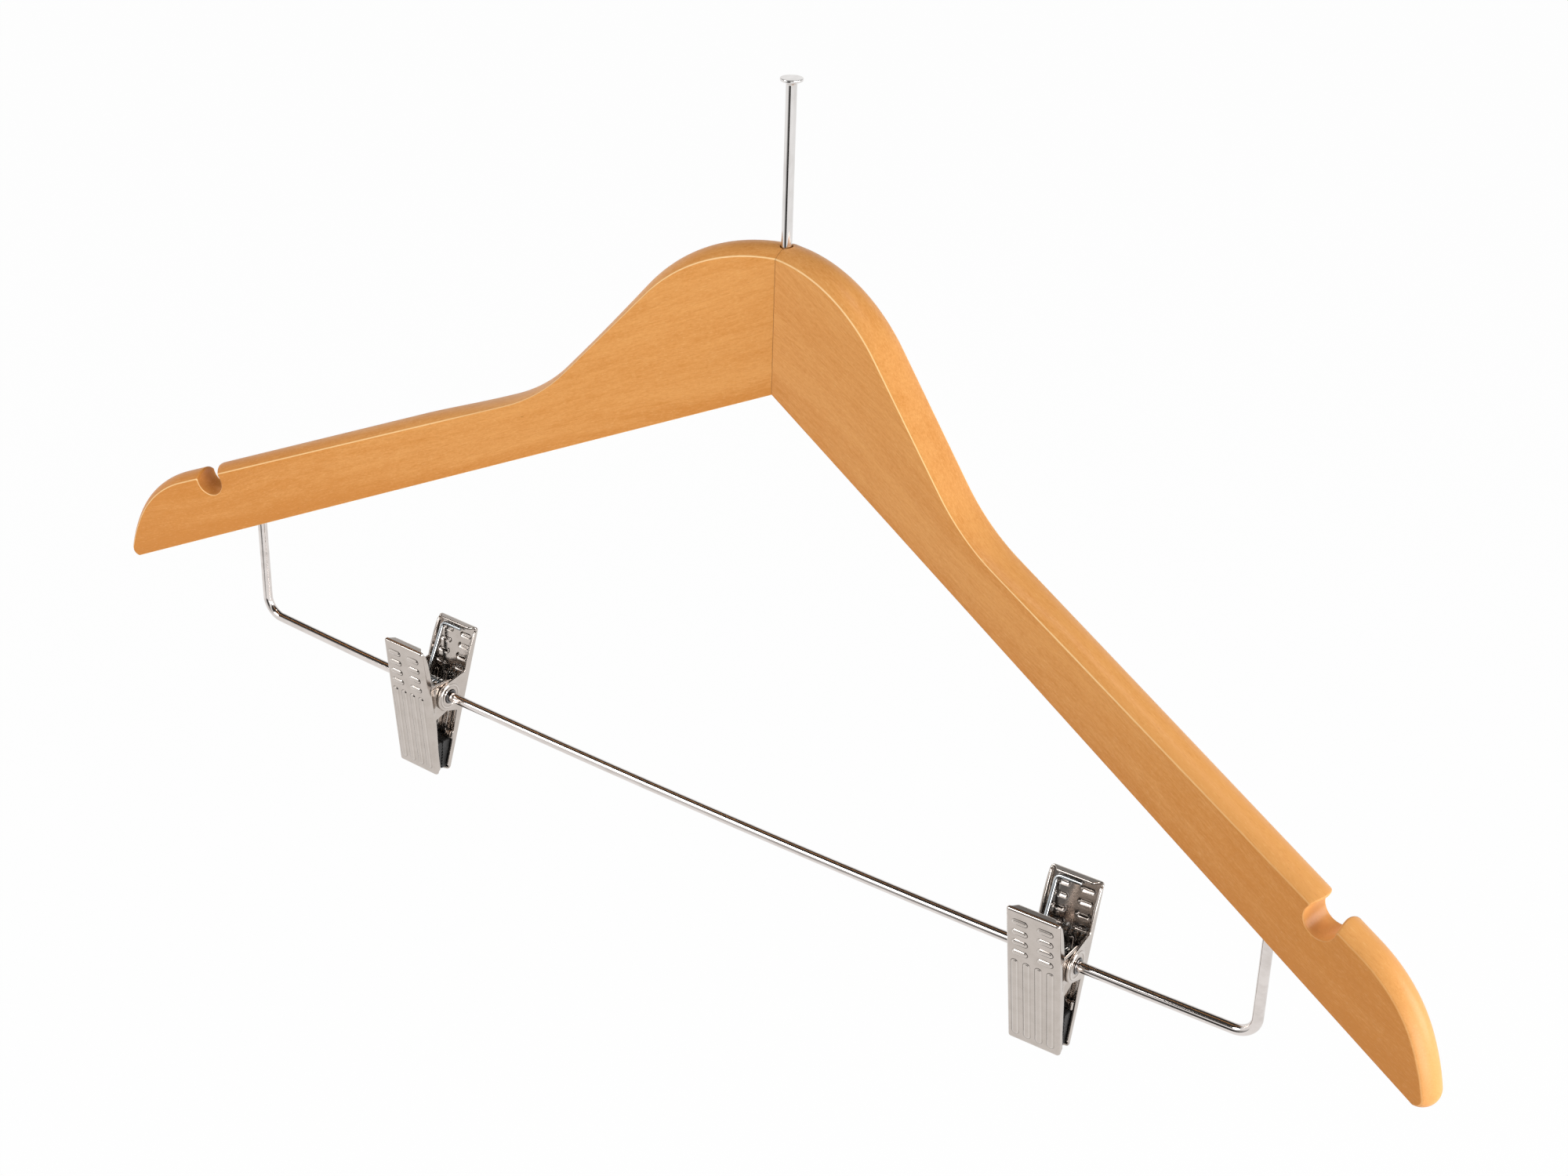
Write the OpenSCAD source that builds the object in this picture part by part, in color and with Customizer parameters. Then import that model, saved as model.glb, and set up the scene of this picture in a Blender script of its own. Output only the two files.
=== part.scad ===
// Wooden clip hanger with a nail-headed hanging pin in place of a hook.
// Millimetres, +Z up. The origin is on the pin's axis, right under its head,
// +X runs along the skirt bar and the arms sweep forward, towards -Y.

/* [Arms] */
// Thickness of the wood between its front and back faces
wood_thickness = 10.5; // [10:0.1:12]
// Rise of the rounded top edge above the face creases
top_crown = 2; // [1:0.1:2.5]
// How far each arm turns forward from the middle plane, in degrees
sweep_angle = 12.8; // [10:0.1:15]
// Height at which the arms' top edges would meet over the inner corner
arm_rise = 15.7; // [15:0.1:16.5]
// Height of the front crease at the mitre above the inner corner
apex_height = 39.8; // [38:0.1:42]
// Depth of the inner corner below the pin's head
corner_drop = 86; // [82:0.5:90]
// Fall of the straight lower edge, in degrees
edge_slope = 24.4; // [23.5:0.1:25]
// Fall of the arm's straight top edge, in degrees
arm_slope = 22.9; // [22:0.1:23.5]
// Fall of the neck's flank, in degrees
neck_slope = 48; // [45:0.5:51]
// Radius of the crown over the pin
crown_radius = 49.6; // [47:0.2:52]
// Half length of the level run at the crown's middle
crown_flat = 1.5; // [1.3:0.1:2]
// Radius of the hollow between neck and arm
hollow_radius = 56; // [40:1:70]

/* [Arm tips] */
// Distance along the arm at which the tip starts to turn down
tip_start = 205.3; // [203:0.1:207]
// First radius of the tip
tip_radius = 35; // [33:0.5:37]
// Turn of the tip's first arc, in degrees
tip_turn = 38.4; // [36:0.2:40]
// Second, slower radius of the tip
tip_flank_radius = 60; // [55:1:65]
// Radius of the tip's lower corner
tip_corner_radius = 2; // [1.5:0.1:3]
// Distance along the arm to the middle of the strap notch
notch_at = 194.4; // [192:0.2:196]
// Diameter of the strap notch
notch_diameter = 9.2; // [8:0.1:10]
// How far the notch's axis lies below the top crease
notch_sink = 1.8; // [1:0.1:2.5]

/* [Hanging pin] */
// Diameter of the pin
pin_diameter = 3; // [2.8:0.1:3.4]
// Diameter of the pin's flat head
pin_head_diameter = 6.4; // [6:0.1:7]
// Height of the pin's whole head
pin_head_height = 2; // [1.6:0.1:2.4]
// Thickness of the head's rim
pin_rim_height = 0.6; // [0.4:0.1:0.8]
// Length of the pin under its head
pin_length = 66.5; // [66:0.5:67]
// Radial gap between the pin and its bore
pin_clearance = 0.08; // [0.05:0.01:0.1]
// Diameter of the bore's open mouth
pin_mouth_diameter = 4.4; // [4:0.1:4.8]
// Depth of the bore's open mouth
pin_mouth_depth = 2.5; // [2:0.5:3.5]
// Diameter left at the pin's retaining groove
pin_groove_diameter = 2; // [1.8:0.1:2.2]
// Height of the retaining groove
pin_groove_height = 1.5; // [1.4:0.1:1.8]
// Height of the groove's middle above the pin's foot
pin_groove_up = 4; // [3:0.5:5]
// Diameter of the brad that runs in the groove
brad_diameter = 1.2; // [1:0.1:1.2]
// Diameter of the brad's flush head
brad_head_diameter = 2.2; // [2:0.1:2.6]

/* [Mitre dowels] */
// Diameter of the dowels
dowel_diameter = 4; // [3.5:0.5:4.5]
// Length of the dowels
dowel_length = 24; // [18:1:26]
// Height of the lower dowel above the inner corner
dowel_low = 5; // [4.5:0.5:5.5]
// Height of the upper dowel above the inner corner
dowel_high = 12.5; // [12:0.5:13]

/* [Skirt bar] */
// Diameter of the bar's wire
bar_diameter = 3; // [2.8:0.1:3.2]
// Height of the bar's middle below the inner corner
bar_drop = 119.5; // [112:0.5:124]
// Distance from the middle to each corner of the bar
bar_reach = 176.4; // [172:0.2:180]
// How far the bar's middle hangs below its ends
bar_sag = 3.8; // [3:0.1:4.2]
// Bend radius of the bar's corners, at the wire's middle
bar_bend = 6; // [5:0.5:8]
// Outward lean of the bar's legs, in degrees
leg_splay = 2.2; // [1.5:0.1:3]
// Depth of the sockets that hold the legs
socket_depth = 12; // [10:0.5:13]

/* [Clips] */
// Place of the left clip's middle along the bar
left_clip_at = -103.8; // [-150:0.2:-60]
// Place of the right clip's middle along the bar
right_clip_at = 118.2; // [60:0.2:150]
// How far the left clip's top leans back, in degrees
left_clip_lean = 6.5; // [0:0.5:15]
// How far the right clip's top leans back, in degrees
right_clip_lean = 4; // [0:0.5:15]
// Width of a clip
clip_width = 16.4; // [16:0.1:18]
// Thickness of the clip's sheet metal
sheet = 0.7; // [0.6:0.05:0.8]
// Height of a jaw's top above the pivot
jaw_top = 20; // [19:0.5:21]
// Depth of a jaw's foot below the pivot
jaw_foot = 27.5; // [26.5:0.5:28.5]
// Spread of the two handles at their tops
handle_spread = 26.9; // [26:0.1:28]
// Distance over both jaws at their feet
foot_spread = 7; // [6.8:0.1:7.4]
// How far the jaws' meeting plane lies in front of the pivot
bite_offset = 1; // [0.6:0.1:1.4]
// Depth of the folded top flange
top_flange = 2.8; // [2:0.1:3.2]
// Depth of the side flange beside the handle
side_flange = 3; // [2.5:0.1:3.3]
// Depth of the side flange at the foot
foot_flange = 2.2; // [1.8:0.1:2.4]
// Radius of the ears round the pivot
ear_radius = 5; // [4.6:0.1:5.2]
// Gap between the inner and the outer ears
ear_gap = 0.15; // [0.1:0.05:0.2]
// Radius of the raised ring on the outer ears
ring_radius = 4; // [3.6:0.1:4.2]
// Height of the raised ring
ring_height = 0.25; // [0.2:0.05:0.3]

/* [Pressed pattern] */
// Depth of the pattern pressed into the jaws
press_depth = 0.3; // [0.2:0.05:0.35]
// Length of a grip lozenge
lozenge_length = 4.8; // [4:0.1:5]
// Height of a grip lozenge
lozenge_height = 1.7; // [1.4:0.1:2]
// Distance of the lozenge columns from the jaw's middle
lozenge_side = 3.9; // [3.7:0.1:4.1]
// Distance of the first lozenge row from the top
lozenge_first = 4.1; // [3.9:0.1:4.5]
// Distance between the lozenge rows
lozenge_pitch = 3.65; // [3.5:0.05:3.7]
// Distance of the long beads' upper ends from the top
bead_from = 18; // [17.5:0.5:20]
// Distance of the long beads' lower ends from the foot
bead_up = 3; // [3:0.5:5]
// Width of a long bead
bead_width = 1.4; // [1.2:0.1:1.6]
// Distance between the long beads
bead_pitch = 3.5; // [3.3:0.1:3.6]

/* [Pivot tube, spring and pads] */
// Outer diameter of the pivot tube
tube_diameter = 4.4; // [4.3:0.1:4.6]
// Radial gap between the tube and the bar
tube_clearance = 0.1; // [0.08:0.01:0.1]
// Radial gap between the tube and the ears' holes
ear_clearance = 0.06; // [0.05:0.01:0.1]
// How far the tube stands out of each ear
tube_proud = 0.4; // [0.3:0.1:0.6]
// Diameter of the spring's wire
spring_wire = 1.2; // [1.1:0.05:1.3]
// Radial gap between the tube and the spring's coil
spring_clearance = 0.4; // [0.3:0.05:0.5]
// Whole turns of the spring's coil
spring_turns = 6; // [5:1:6]
// Gap between neighbouring turns
spring_gap = 0.5; // [0.45:0.05:0.55]
// Length of the spring's feet that cross the handles
spring_foot = 6; // [5:0.5:7]
// Height of the spring's feet above the pivot
spring_reach = 16.5; // [15.5:0.5:17]
// Bend radius where a spring leg turns into its foot
spring_bend = 1.5; // [1.3:0.1:1.8]
// Height of a rubber pad
pad_height = 10; // [9:0.5:11]
// Width of a rubber pad
pad_width = 14; // [13:0.5:14.5]
// Gap between the two pads when the clip is shut
pad_gap = 0.2; // [0.1:0.1:0.4]
// Depth of the lip that carries a pad
pad_lip = 1.6; // [1.2:0.1:1.8]

/* [Hidden] */
$fn = 64;

wood = [0.87, 0.62, 0.36];
dowel_wood = [0.80, 0.68, 0.48];
bright = [0.80, 0.81, 0.83];
nickel = [0.72, 0.70, 0.68];
steel = [0.62, 0.64, 0.67];
rubber = [0.08, 0.08, 0.08];

// a cutting tool stands this far past the surface that it cuts
over = 1;

// Outline of an arm's front face: x runs along the arm from the mitre, y up from the inner
// corner, and the wood lies from z = 0 back to z = -wood_thickness. Heading 0 runs along x.
function ahead(a) = [cos(a), sin(a)];
function leftward(a) = [-sin(a), cos(a)];

crown_centre = [crown_flat, apex_height - crown_radius];
neck_top = crown_centre + crown_radius * leftward(-neck_slope);
tip_top = [tip_start, arm_rise - tip_start * tan(arm_slope)];
// where the neck's flank and the arm's top edge would cross
cross_x = (neck_top[1] + neck_top[0] * tan(neck_slope) - arm_rise)
    / (tan(neck_slope) - tan(arm_slope));
hollow_corner = [cross_x, arm_rise - cross_x * tan(arm_slope)];
hollow_tangent = hollow_radius * tan((neck_slope - arm_slope) / 2);
neck_foot = hollow_corner - hollow_tangent * ahead(-neck_slope);
arm_top = hollow_corner + hollow_tangent * ahead(-arm_slope);
hollow_centre = neck_foot + hollow_radius * leftward(-neck_slope);
tip_centre = tip_top - tip_radius * leftward(-arm_slope);
flank_heading = -arm_slope - tip_turn;
tip_mid = tip_centre + tip_radius * leftward(flank_heading);
flank_centre = tip_mid - tip_flank_radius * leftward(flank_heading);
// the corner's circle touches the lower edge and the tip's second arc from inside
edge_up = leftward(-edge_slope);
edge_out = ahead(-edge_slope);
flank_above = flank_centre * edge_up;
corner_centre = flank_centre + (tip_corner_radius - flank_above) * edge_up
    + sqrt(pow(tip_flank_radius - tip_corner_radius, 2)
           - pow(tip_corner_radius - flank_above, 2)) * edge_out;
to_corner = corner_centre - flank_centre;
corner_heading = atan2(to_corner[1], to_corner[0]) - 90;
edge_heading = -180 - edge_slope;
notch_centre = [notch_at, arm_rise - notch_at * tan(arm_slope)]
    - notch_sink * leftward(-arm_slope);

// every piece of an arm reaches this far down and is then cut at the lower edge
wood_depth = 48;
// Where two runs of the wood's sweep meet, the more curved one goes on this far inside the
// other and stands this much below its surface.
join_run = 1;
join_step = 0.05;
// the front face needs this much past the mitre plane before the mitre is cut
mitre_extra = wood_thickness * tan(sweep_angle) + over;
arm_span = 2 * wood_depth + norm(corner_centre) + tip_corner_radius;
crown_circle = (pow(wood_thickness / 2, 2) + pow(top_crown, 2)) / (2 * top_crown);

// Section of the wood: x outwards, its crease at x = 0 and its crown beyond it. It is drawn
// wider than the wood by a little, and one slab trims the whole arm to its two faces.
face_trim = 0.05;
module wood_section(depth) {
    intersection() {
        translate([-depth, -wood_thickness - face_trim])
            square([depth + top_crown + over, wood_thickness + 2 * face_trim]);
        union() {
            translate([top_crown - crown_circle, -wood_thickness / 2]) circle(crown_circle);
            translate([-wood_depth - over, -wood_thickness - over])
                square([wood_depth + over - top_crown, wood_thickness + 2 * over]);
        }
    }
}

// a straight run from a point of the outline, lowered by the sink
module straight_run(from, heading, length, sink = 0) {
    translate([from[0], from[1], 0]) rotate(heading) rotate([90, 0, 90])
        linear_extrude(length) translate([-sink, 0]) wood_section(wood_depth);
}

// An outward bend, from one heading to a steeper one, lowered by the sink. Its section stops
// at the axis or at the wood's depth.
module outward_bend(centre, radius, from_heading, to_heading, sink) {
    translate([centre[0], centre[1], 0]) rotate(to_heading + 90)
        rotate_extrude(angle = from_heading - to_heading) intersection() {
            translate([radius - sink, 0]) wood_section(wood_depth);
            translate([max(0, radius - wood_depth), -wood_thickness - over])
                square([radius + top_crown, wood_thickness + 2 * over]);
        }
}

// the bend of the hollow, whose wood lies outside its circle
module inward_bend(centre, radius, from_heading, to_heading) {
    translate([centre[0], centre[1], 0]) rotate(from_heading - 90)
        rotate_extrude(angle = to_heading - from_heading)
            translate([radius, 0]) mirror([1, 0]) wood_section(wood_depth);
}

function turn_of(run, radius) = run / radius * 180 / PI;

module arm_blank() {
    crown_more = turn_of(join_run, crown_radius);
    flank_run = norm(neck_foot - neck_top);
    arm_run = norm(tip_top - arm_top);
    tip_more = turn_of(join_run, tip_radius);
    difference() {
        union() {
            straight_run([-mitre_extra, apex_height], 0, mitre_extra + crown_flat, join_step);
            outward_bend(crown_centre, crown_radius, crown_more, -neck_slope - crown_more,
                2 * join_step);
            straight_run(neck_top, -neck_slope, flank_run + join_run, join_step);
            inward_bend(hollow_centre, hollow_radius, -neck_slope, -arm_slope);
            straight_run(arm_top - join_run * ahead(-arm_slope), -arm_slope,
                arm_run + join_run, join_step);
            outward_bend(tip_centre, tip_radius, -arm_slope + tip_more,
                flank_heading - tip_more, 3 * join_step);
            outward_bend(flank_centre, tip_flank_radius, flank_heading, corner_heading,
                2 * join_step);
            // the corner's circle dips just below the lower edge, which then trims it
            outward_bend(corner_centre - 3 * join_step * edge_up, tip_corner_radius, 180, -180,
                join_step);
            // the strip of wood between the corner's circle and the pieces before it
            translate([corner_centre[0], corner_centre[1], -wood_thickness - over])
                rotate(-edge_slope)
                    translate([-tip_flank_radius / 2, -tip_corner_radius - over, 0])
                        cube([tip_flank_radius / 2, tip_corner_radius + over,
                              wood_thickness + 2 * over]);
        }
        // what stands past the front and the back face goes
        for (z = [0, -wood_thickness - 2 * over])
            translate([-wood_depth, -arm_span, z])
                cube([2 * arm_span, 2 * arm_span, 2 * over]);
        // everything under the straight lower edge goes
        rotate(-edge_slope) translate([-wood_depth, -2 * wood_depth, -wood_thickness - over])
            cube([arm_span, 2 * wood_depth, wood_thickness + 2 * over]);
        translate([notch_centre[0], notch_centre[1], -wood_thickness - over])
            cylinder(d = notch_diameter, h = wood_thickness + 2 * over);
    }
}

// The arm's middle plane passes through the pin's axis.
front_y = -wood_thickness / 2 / cos(sweep_angle);
pin_foot_bevel = 0.4;
pin_bore = pin_diameter + 2 * pin_clearance;
brad_x = pin_groove_diameter / 2 + brad_diameter / 2 + pin_clearance;
groove_z = -pin_length + pin_groove_up;
// how far behind the middle plane the back face lies at the brad
brad_back = wood_thickness / 2 / cos(sweep_angle) - brad_x * tan(sweep_angle);
brad_length = brad_back + pin_diameter;
brad_head_height = 0.8;
mouth_floor = -corner_drop + apex_height + top_crown - pin_mouth_depth;

bow_radius = (pow(bar_reach, 2) + pow(bar_sag, 2)) / (2 * bar_sag);
bar_y = -bar_reach * tan(sweep_angle);
bar_low = -corner_drop - bar_drop;
bow_centre = [0, bar_y, bar_low + bow_radius];

module right_arm_wood() {
    difference() {
        translate([0, front_y, -corner_drop]) rotate(-sweep_angle) rotate([90, 0, 0])
            arm_blank();
        translate([-4 * wood_depth, -2 * wood_depth, -4 * wood_depth])
            cube([4 * wood_depth, 4 * wood_depth, 4 * wood_depth]);
        translate([0, 0, -pin_length - over]) cylinder(d = pin_bore, h = pin_length);
        translate([0, 0, mouth_floor])
            cylinder(d = pin_mouth_diameter, h = pin_mouth_depth + 2 * over);
        for (up = [dowel_low, dowel_high])
            translate([-over, 0, up - corner_drop]) rotate([0, 90, 0])
                cylinder(d = dowel_diameter, h = dowel_length / 2 + over);
        leg_bore();
    }
}
module right_arm() color(wood) difference() {
    right_arm_wood();
    brad_solid(over);
}

module left_arm() color(wood) mirror([1, 0, 0]) right_arm_wood();

module lower_dowel() color(dowel_wood) dowel(dowel_low);
module upper_dowel() color(dowel_wood) dowel(dowel_high);
module dowel(up) {
    translate([-dowel_length / 2, 0, up - corner_drop]) rotate([0, 90, 0])
        cylinder(d = dowel_diameter, h = dowel_length);
}

module hanging_pin() color(bright) difference() {
    rotate_extrude() polygon([
        [0, -pin_length], [pin_diameter / 2 - pin_foot_bevel, -pin_length],
        [pin_diameter / 2, -pin_length + pin_foot_bevel], [pin_diameter / 2, 0],
        [pin_head_diameter / 2, pin_head_height - pin_rim_height],
        [pin_head_diameter / 2, pin_head_height], [0, pin_head_height]]);
    translate([0, 0, groove_z]) difference() {
        cylinder(d = pin_diameter + over, h = pin_groove_height, center = true);
        cylinder(d = pin_groove_diameter, h = pin_groove_height + over, center = true);
    }
}
// the brad lies along Y and passes the pin inside its groove
module brad_solid(extra) {
    translate([brad_x, brad_back - brad_length, groove_z]) rotate([-90, 0, 0])
        cylinder(d = brad_diameter, h = brad_length + extra);
    translate([brad_x, brad_back - brad_head_height, groove_z]) rotate([-90, 0, 0])
        cylinder(d = brad_head_diameter, h = brad_head_height + extra);
}
module retaining_brad() color(steel) brad_solid(0);

// The bar is bowed on a far centre above it. Each end bends up into a leg that leans outwards.
corner_turn = 90 + leg_splay - asin(bar_reach / bow_radius);
bow_half = asin((bar_reach - bar_bend * tan(corner_turn / 2)) / bow_radius);
bend_turn = 90 + leg_splay - bow_half;
bend_start = [bow_radius * sin(bow_half), bar_low + bow_radius * (1 - cos(bow_half))];
bend_centre = bend_start + bar_bend * leftward(bow_half);
leg_start = bend_centre - bar_bend * leftward(90 + leg_splay);
// the leg's axis meets the plane of the lower edges where its wood begins
edge_fall = tan(edge_slope) / cos(sweep_angle);
leg_to_wood = (-corner_drop - leg_start[0] * edge_fall - leg_start[1])
    / (cos(leg_splay) - sin(leg_splay) * edge_fall);
leg_length = leg_to_wood + socket_depth;

module leg_bore() {
    translate([leg_start[0], bar_y, leg_start[1]]) rotate([0, -leg_splay, 0])
        cylinder(d = bar_diameter, h = leg_length);
}

// the bend runs a little way inside the bow and the leg, and is slimmer than both by this much
wire_step = 0.01;
bend_more = turn_of(join_run / 4, bar_bend);
module bar_side() {
    translate([bend_centre[0], bar_y, bend_centre[1]]) rotate([90, 0, 0])
        rotate(bow_half - 90 - bend_more)
            rotate_extrude(angle = bend_turn + 2 * bend_more)
                translate([bar_bend, 0]) circle(d = bar_diameter - 2 * wire_step);
    leg_bore();
}

// the bow turns so little that a whole circle needs this many facets to show it
bow_facets = 256;
module skirt_bar() color(bright) {
    translate(bow_centre) rotate([90, 0, 0]) rotate(-90 - bow_half)
        rotate_extrude(angle = 2 * bow_half, $fn = bow_facets)
            translate([bow_radius, 0]) circle(d = bar_diameter, $fn = 64);
    bar_side();
    mirror([1, 0, 0]) bar_side();
}

// Clips. Each is drawn about its pivot, +X along the bar and -Y to the front, and then set on
// the bow. The rear jaw has the outer ears.
module on_bar(at, back) {
    translate(bow_centre) rotate([0, -asin(at / bow_radius), 0])
        translate([0, 0, -bow_radius]) rotate([-back, 0, 0]) children();
}

tube_bore = bar_diameter + 2 * tube_clearance;
ear_bore = tube_diameter + 2 * ear_clearance;
tube_length = clip_width + 2 * ring_height + 2 * tube_proud;
coil_radius = tube_diameter / 2 + spring_clearance + spring_wire / 2;

module pivot_tube() {
    rotate([0, 90, 0]) difference() {
        cylinder(d = tube_diameter, h = tube_length, center = true);
        cylinder(d = tube_bore, h = tube_length + over, center = true);
    }
}

// A jaw is drawn as the rear one, at y > 0. The front one is drawn so too and then mirrored.
// Its offset is how far the jaws' meeting plane lies from the pivot on its own side.
jaw_height = jaw_top + jaw_foot;
lean = atan((handle_spread - foot_spread) / 2 / jaw_height);
function outer_y(z, offset) =
    offset + (foot_spread + (handle_spread - foot_spread) * (z + jaw_foot) / jaw_height) / 2;
function inside(z, offset, depth) = [outer_y(z, offset) - depth, z];
sheet_across = sheet / cos(lean);
tab_width = 3.5;
rear_side = -bite_offset;
front_side = bite_offset;

// draws a shape of y and z as a wall of the given thickness, from x towards +X
module wall(x, thickness) {
    translate([x, 0, 0]) rotate([90, 0, 90]) linear_extrude(thickness) children();
}
module both_walls(x, thickness) {
    wall(x, thickness) children();
    wall(-x - thickness, thickness) children();
}

module plate_outline(offset) {
    polygon([inside(-jaw_foot, offset, sheet_across), inside(-jaw_foot, offset, 0),
             inside(jaw_top, offset, 0), inside(jaw_top, offset, sheet_across)]);
}
module top_outline(offset) {
    polygon([inside(jaw_top, offset, 0), inside(jaw_top, offset, top_flange),
             inside(jaw_top - sheet, offset, top_flange), inside(jaw_top - sheet, offset, 0)]);
}
module lip_outline(offset) {
    polygon([inside(-jaw_foot, offset, 0), inside(-jaw_foot, offset, pad_lip),
             inside(sheet - jaw_foot, offset, pad_lip), inside(sheet - jaw_foot, offset, 0)]);
}
module side_outline(offset) {
    polygon([inside(-jaw_foot, offset, 0), inside(-jaw_foot, offset, foot_flange),
             inside(pad_top, offset, foot_flange), inside(-ear_radius - 3, offset, side_flange),
             inside(ear_radius + 3, offset, side_flange),
             inside((ear_radius + jaw_top) / 2, offset, 0.85 * side_flange),
             inside(jaw_top, offset, side_flange / 2), inside(jaw_top, offset, 0)]);
}
module ear_outline(offset) {
    difference() {
        union() {
            circle(ear_radius);
            polygon([[0, -ear_radius], inside(-ear_radius, offset, sheet_across / 2),
                     inside(ear_radius, offset, sheet_across / 2), [0, ear_radius]]);
        }
        circle(d = ear_bore);
    }
}
module tab_outline(offset) {
    polygon([inside(pad_top + sheet, offset, sheet_across / 2),
             inside(pad_top + sheet, offset, foot_flange),
             inside(pad_top, offset, foot_flange),
             inside(pad_top, offset, sheet_across / 2)]);
}

// the pressed pattern, on the plate's outer face at y = 0, from y = top down by the depth
module pill(x, z, length, width, turn, top, depth) {
    translate([x, top, z]) rotate([90, 0, 0]) linear_extrude(depth) rotate(turn) {
        square([length - width, width], center = true);
        for (side = [-1, 1]) translate([side * (length - width) / 2, 0]) circle(d = width);
    }
}
plate_up = jaw_top / cos(lean);
bead_top = plate_up - bead_from;
bead_foot = bead_up - jaw_foot / cos(lean);
module pattern(top, depth) {
    for (side = [-1, 1], row = [0:3])
        pill(side * lozenge_side, plate_up - lozenge_first - row * lozenge_pitch,
             lozenge_length, lozenge_height, 0, top, depth);
    for (column = [-1.5:1:1.5])
        pill(column * bead_pitch, (bead_top + bead_foot) / 2, bead_top - bead_foot,
             bead_width, 90, top, depth);
}
// puts the pattern's frame on the plate's outer face at the pivot's height
module on_plate(offset) {
    translate([0, outer_y(0, offset), 0]) rotate([-lean, 0, 0]) children();
}

module jaw(offset, ear_x) {
    half = clip_width / 2;
    difference() {
        union() {
            wall(-half, clip_width) plate_outline(offset);
            wall(-half, clip_width) top_outline(offset);
            wall(-half, clip_width) lip_outline(offset);
            both_walls(half - sheet, sheet) side_outline(offset);
            both_walls(ear_x, sheet) ear_outline(offset);
            both_walls(half - tab_width, tab_width) tab_outline(offset);
        }
        on_plate(offset) pattern(over, over + press_depth);
    }
    on_plate(offset) pattern(-sheet / 2, sheet / 2 + press_depth);
}
outer_ear = clip_width / 2 - sheet;
inner_ear = outer_ear - ear_gap - sheet;
module rear_jaw() color(nickel) {
    jaw(rear_side, outer_ear);
    for (side = [-1, 1])
        translate([side * clip_width / 2, 0, 0]) rotate([0, side * 90, 0])
            difference() {
                cylinder(r = ring_radius, h = ring_height);
                cylinder(d = ear_bore, h = ring_height + over);
            }
}
module front_jaw() color(nickel) mirror([0, 1, 0]) jaw(front_side, inner_ear);

// The pads fill each jaw's foot from the crests of the beads to the meeting plane.
pad_foot = sheet - jaw_foot;
pad_top = pad_foot + pad_height;
module pad(offset) {
    face = offset + pad_gap / 2;
    back = sheet_across + press_depth / cos(lean);
    wall(-pad_width / 2, pad_width)
        polygon([[face, pad_foot], inside(pad_foot, offset, back),
                 inside(pad_top, offset, back), [face, pad_top]]);
}
module rear_pad() color(rubber) pad(rear_side);
module front_pad() color(rubber) mirror([0, 1, 0]) pad(front_side);

// The spring: a helical tube along X. Its front leg starts at +X and its rear leg ends at -X,
// each runs up a handle's inner face, and their feet cross the handles towards the middle.
spring_rest = 0.1;
foot_back = sheet_across + press_depth + spring_wire / 2 + spring_rest;
rear_foot = inside(spring_reach, rear_side, foot_back);
front_foot = inside(spring_reach, front_side, foot_back);
// lean of the line that passes the coil at its radius and meets the foot
function leg_lean(foot) = acos(coil_radius / norm(foot)) - atan2(foot[1], foot[0]);
rear_lean = leg_lean(rear_foot);
front_lean = leg_lean(front_foot);
coil_from = 180 + front_lean;
coil_to = 360 * (spring_turns + 1) - rear_lean;
coil_steps = ceil((coil_to - coil_from) / 45);
spring_pitch = spring_wire + spring_gap;
coil_length = spring_pitch * (coil_to - coil_from) / 360;
function coil_point(a) = [coil_length / 2 - spring_pitch * (a - coil_from) / 360,
                          coil_radius * cos(a), coil_radius * sin(a)];
// points of a leg from its foot's end down to the coil, in x, towards the handle, and z
function leg_points(x, foot, tilt, turn) =
    let (along = [0, -sin(tilt), -cos(tilt)], corner = [x, foot[0], foot[1]])
    concat([corner + [turn * spring_foot, 0, 0], corner + [turn * (spring_foot - spring_wire), 0, 0]],
           [for (a = [0:22.5:90]) corner + turn * spring_bend * (1 - sin(a)) * [1, 0, 0]
               + spring_bend * (1 - cos(a)) * along]);
function flip_y(points) = [for (p = points) [p[0], -p[1], p[2]]];
function reversed(points) = [for (i = [len(points) - 1:-1:0]) points[i]];
spring_path = concat(
    flip_y(leg_points(coil_length / 2, front_foot, front_lean, -1)),
    [for (i = [0:coil_steps]) coil_point(coil_from + i * (coil_to - coil_from) / coil_steps)],
    reversed(leg_points(-coil_length / 2, rear_foot, rear_lean, 1)));
path_last = len(spring_path) - 1;
function unit(v) = v / norm(v);
function travel(i) = unit(spring_path[min(i + 1, path_last)] - spring_path[max(i - 1, 0)]);
function across(v, t) = unit(v - (v * t) * t);
// each ring's first side is carried on from the ring before it
spring_sides = [for (i = 0, s = across([0, 0, 1], travel(0)); i <= path_last;
                     i = i + 1, s = across(s, travel(i))) s];
spring_facets = 6;
spring_points = [for (i = [0:path_last], k = [0:spring_facets - 1])
    let (a = 360 * k / spring_facets, t = travel(i), s = spring_sides[i])
    spring_path[i] + spring_wire / 2 * (cos(a) * s + sin(a) * cross(t, s))];
last_ring = path_last * spring_facets;
spring_faces = concat(
    [for (k = [1:spring_facets - 2]) [0, k + 1, k]],
    [for (i = [0:path_last - 1], k = [0:spring_facets - 1], half = [0, 1])
        let (a = i * spring_facets + k, b = i * spring_facets + (k + 1) % spring_facets)
        half == 0 ? [a, b, b + spring_facets] : [a, b + spring_facets, a + spring_facets]],
    [for (k = [1:spring_facets - 2]) [last_ring, last_ring + k, last_ring + k + 1]]);
// rings this far apart along the wire belong to different turns
ring_skip = 6;
echo(str("least gap of the spring's wire to itself: ",
    min([for (i = [0:path_last - ring_skip], j = [i + ring_skip:path_last])
        norm(spring_path[i] - spring_path[j])]) - spring_wire, " mm"));
module spring() color(steel) polyhedron(spring_points, spring_faces, convexity = 8);

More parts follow.
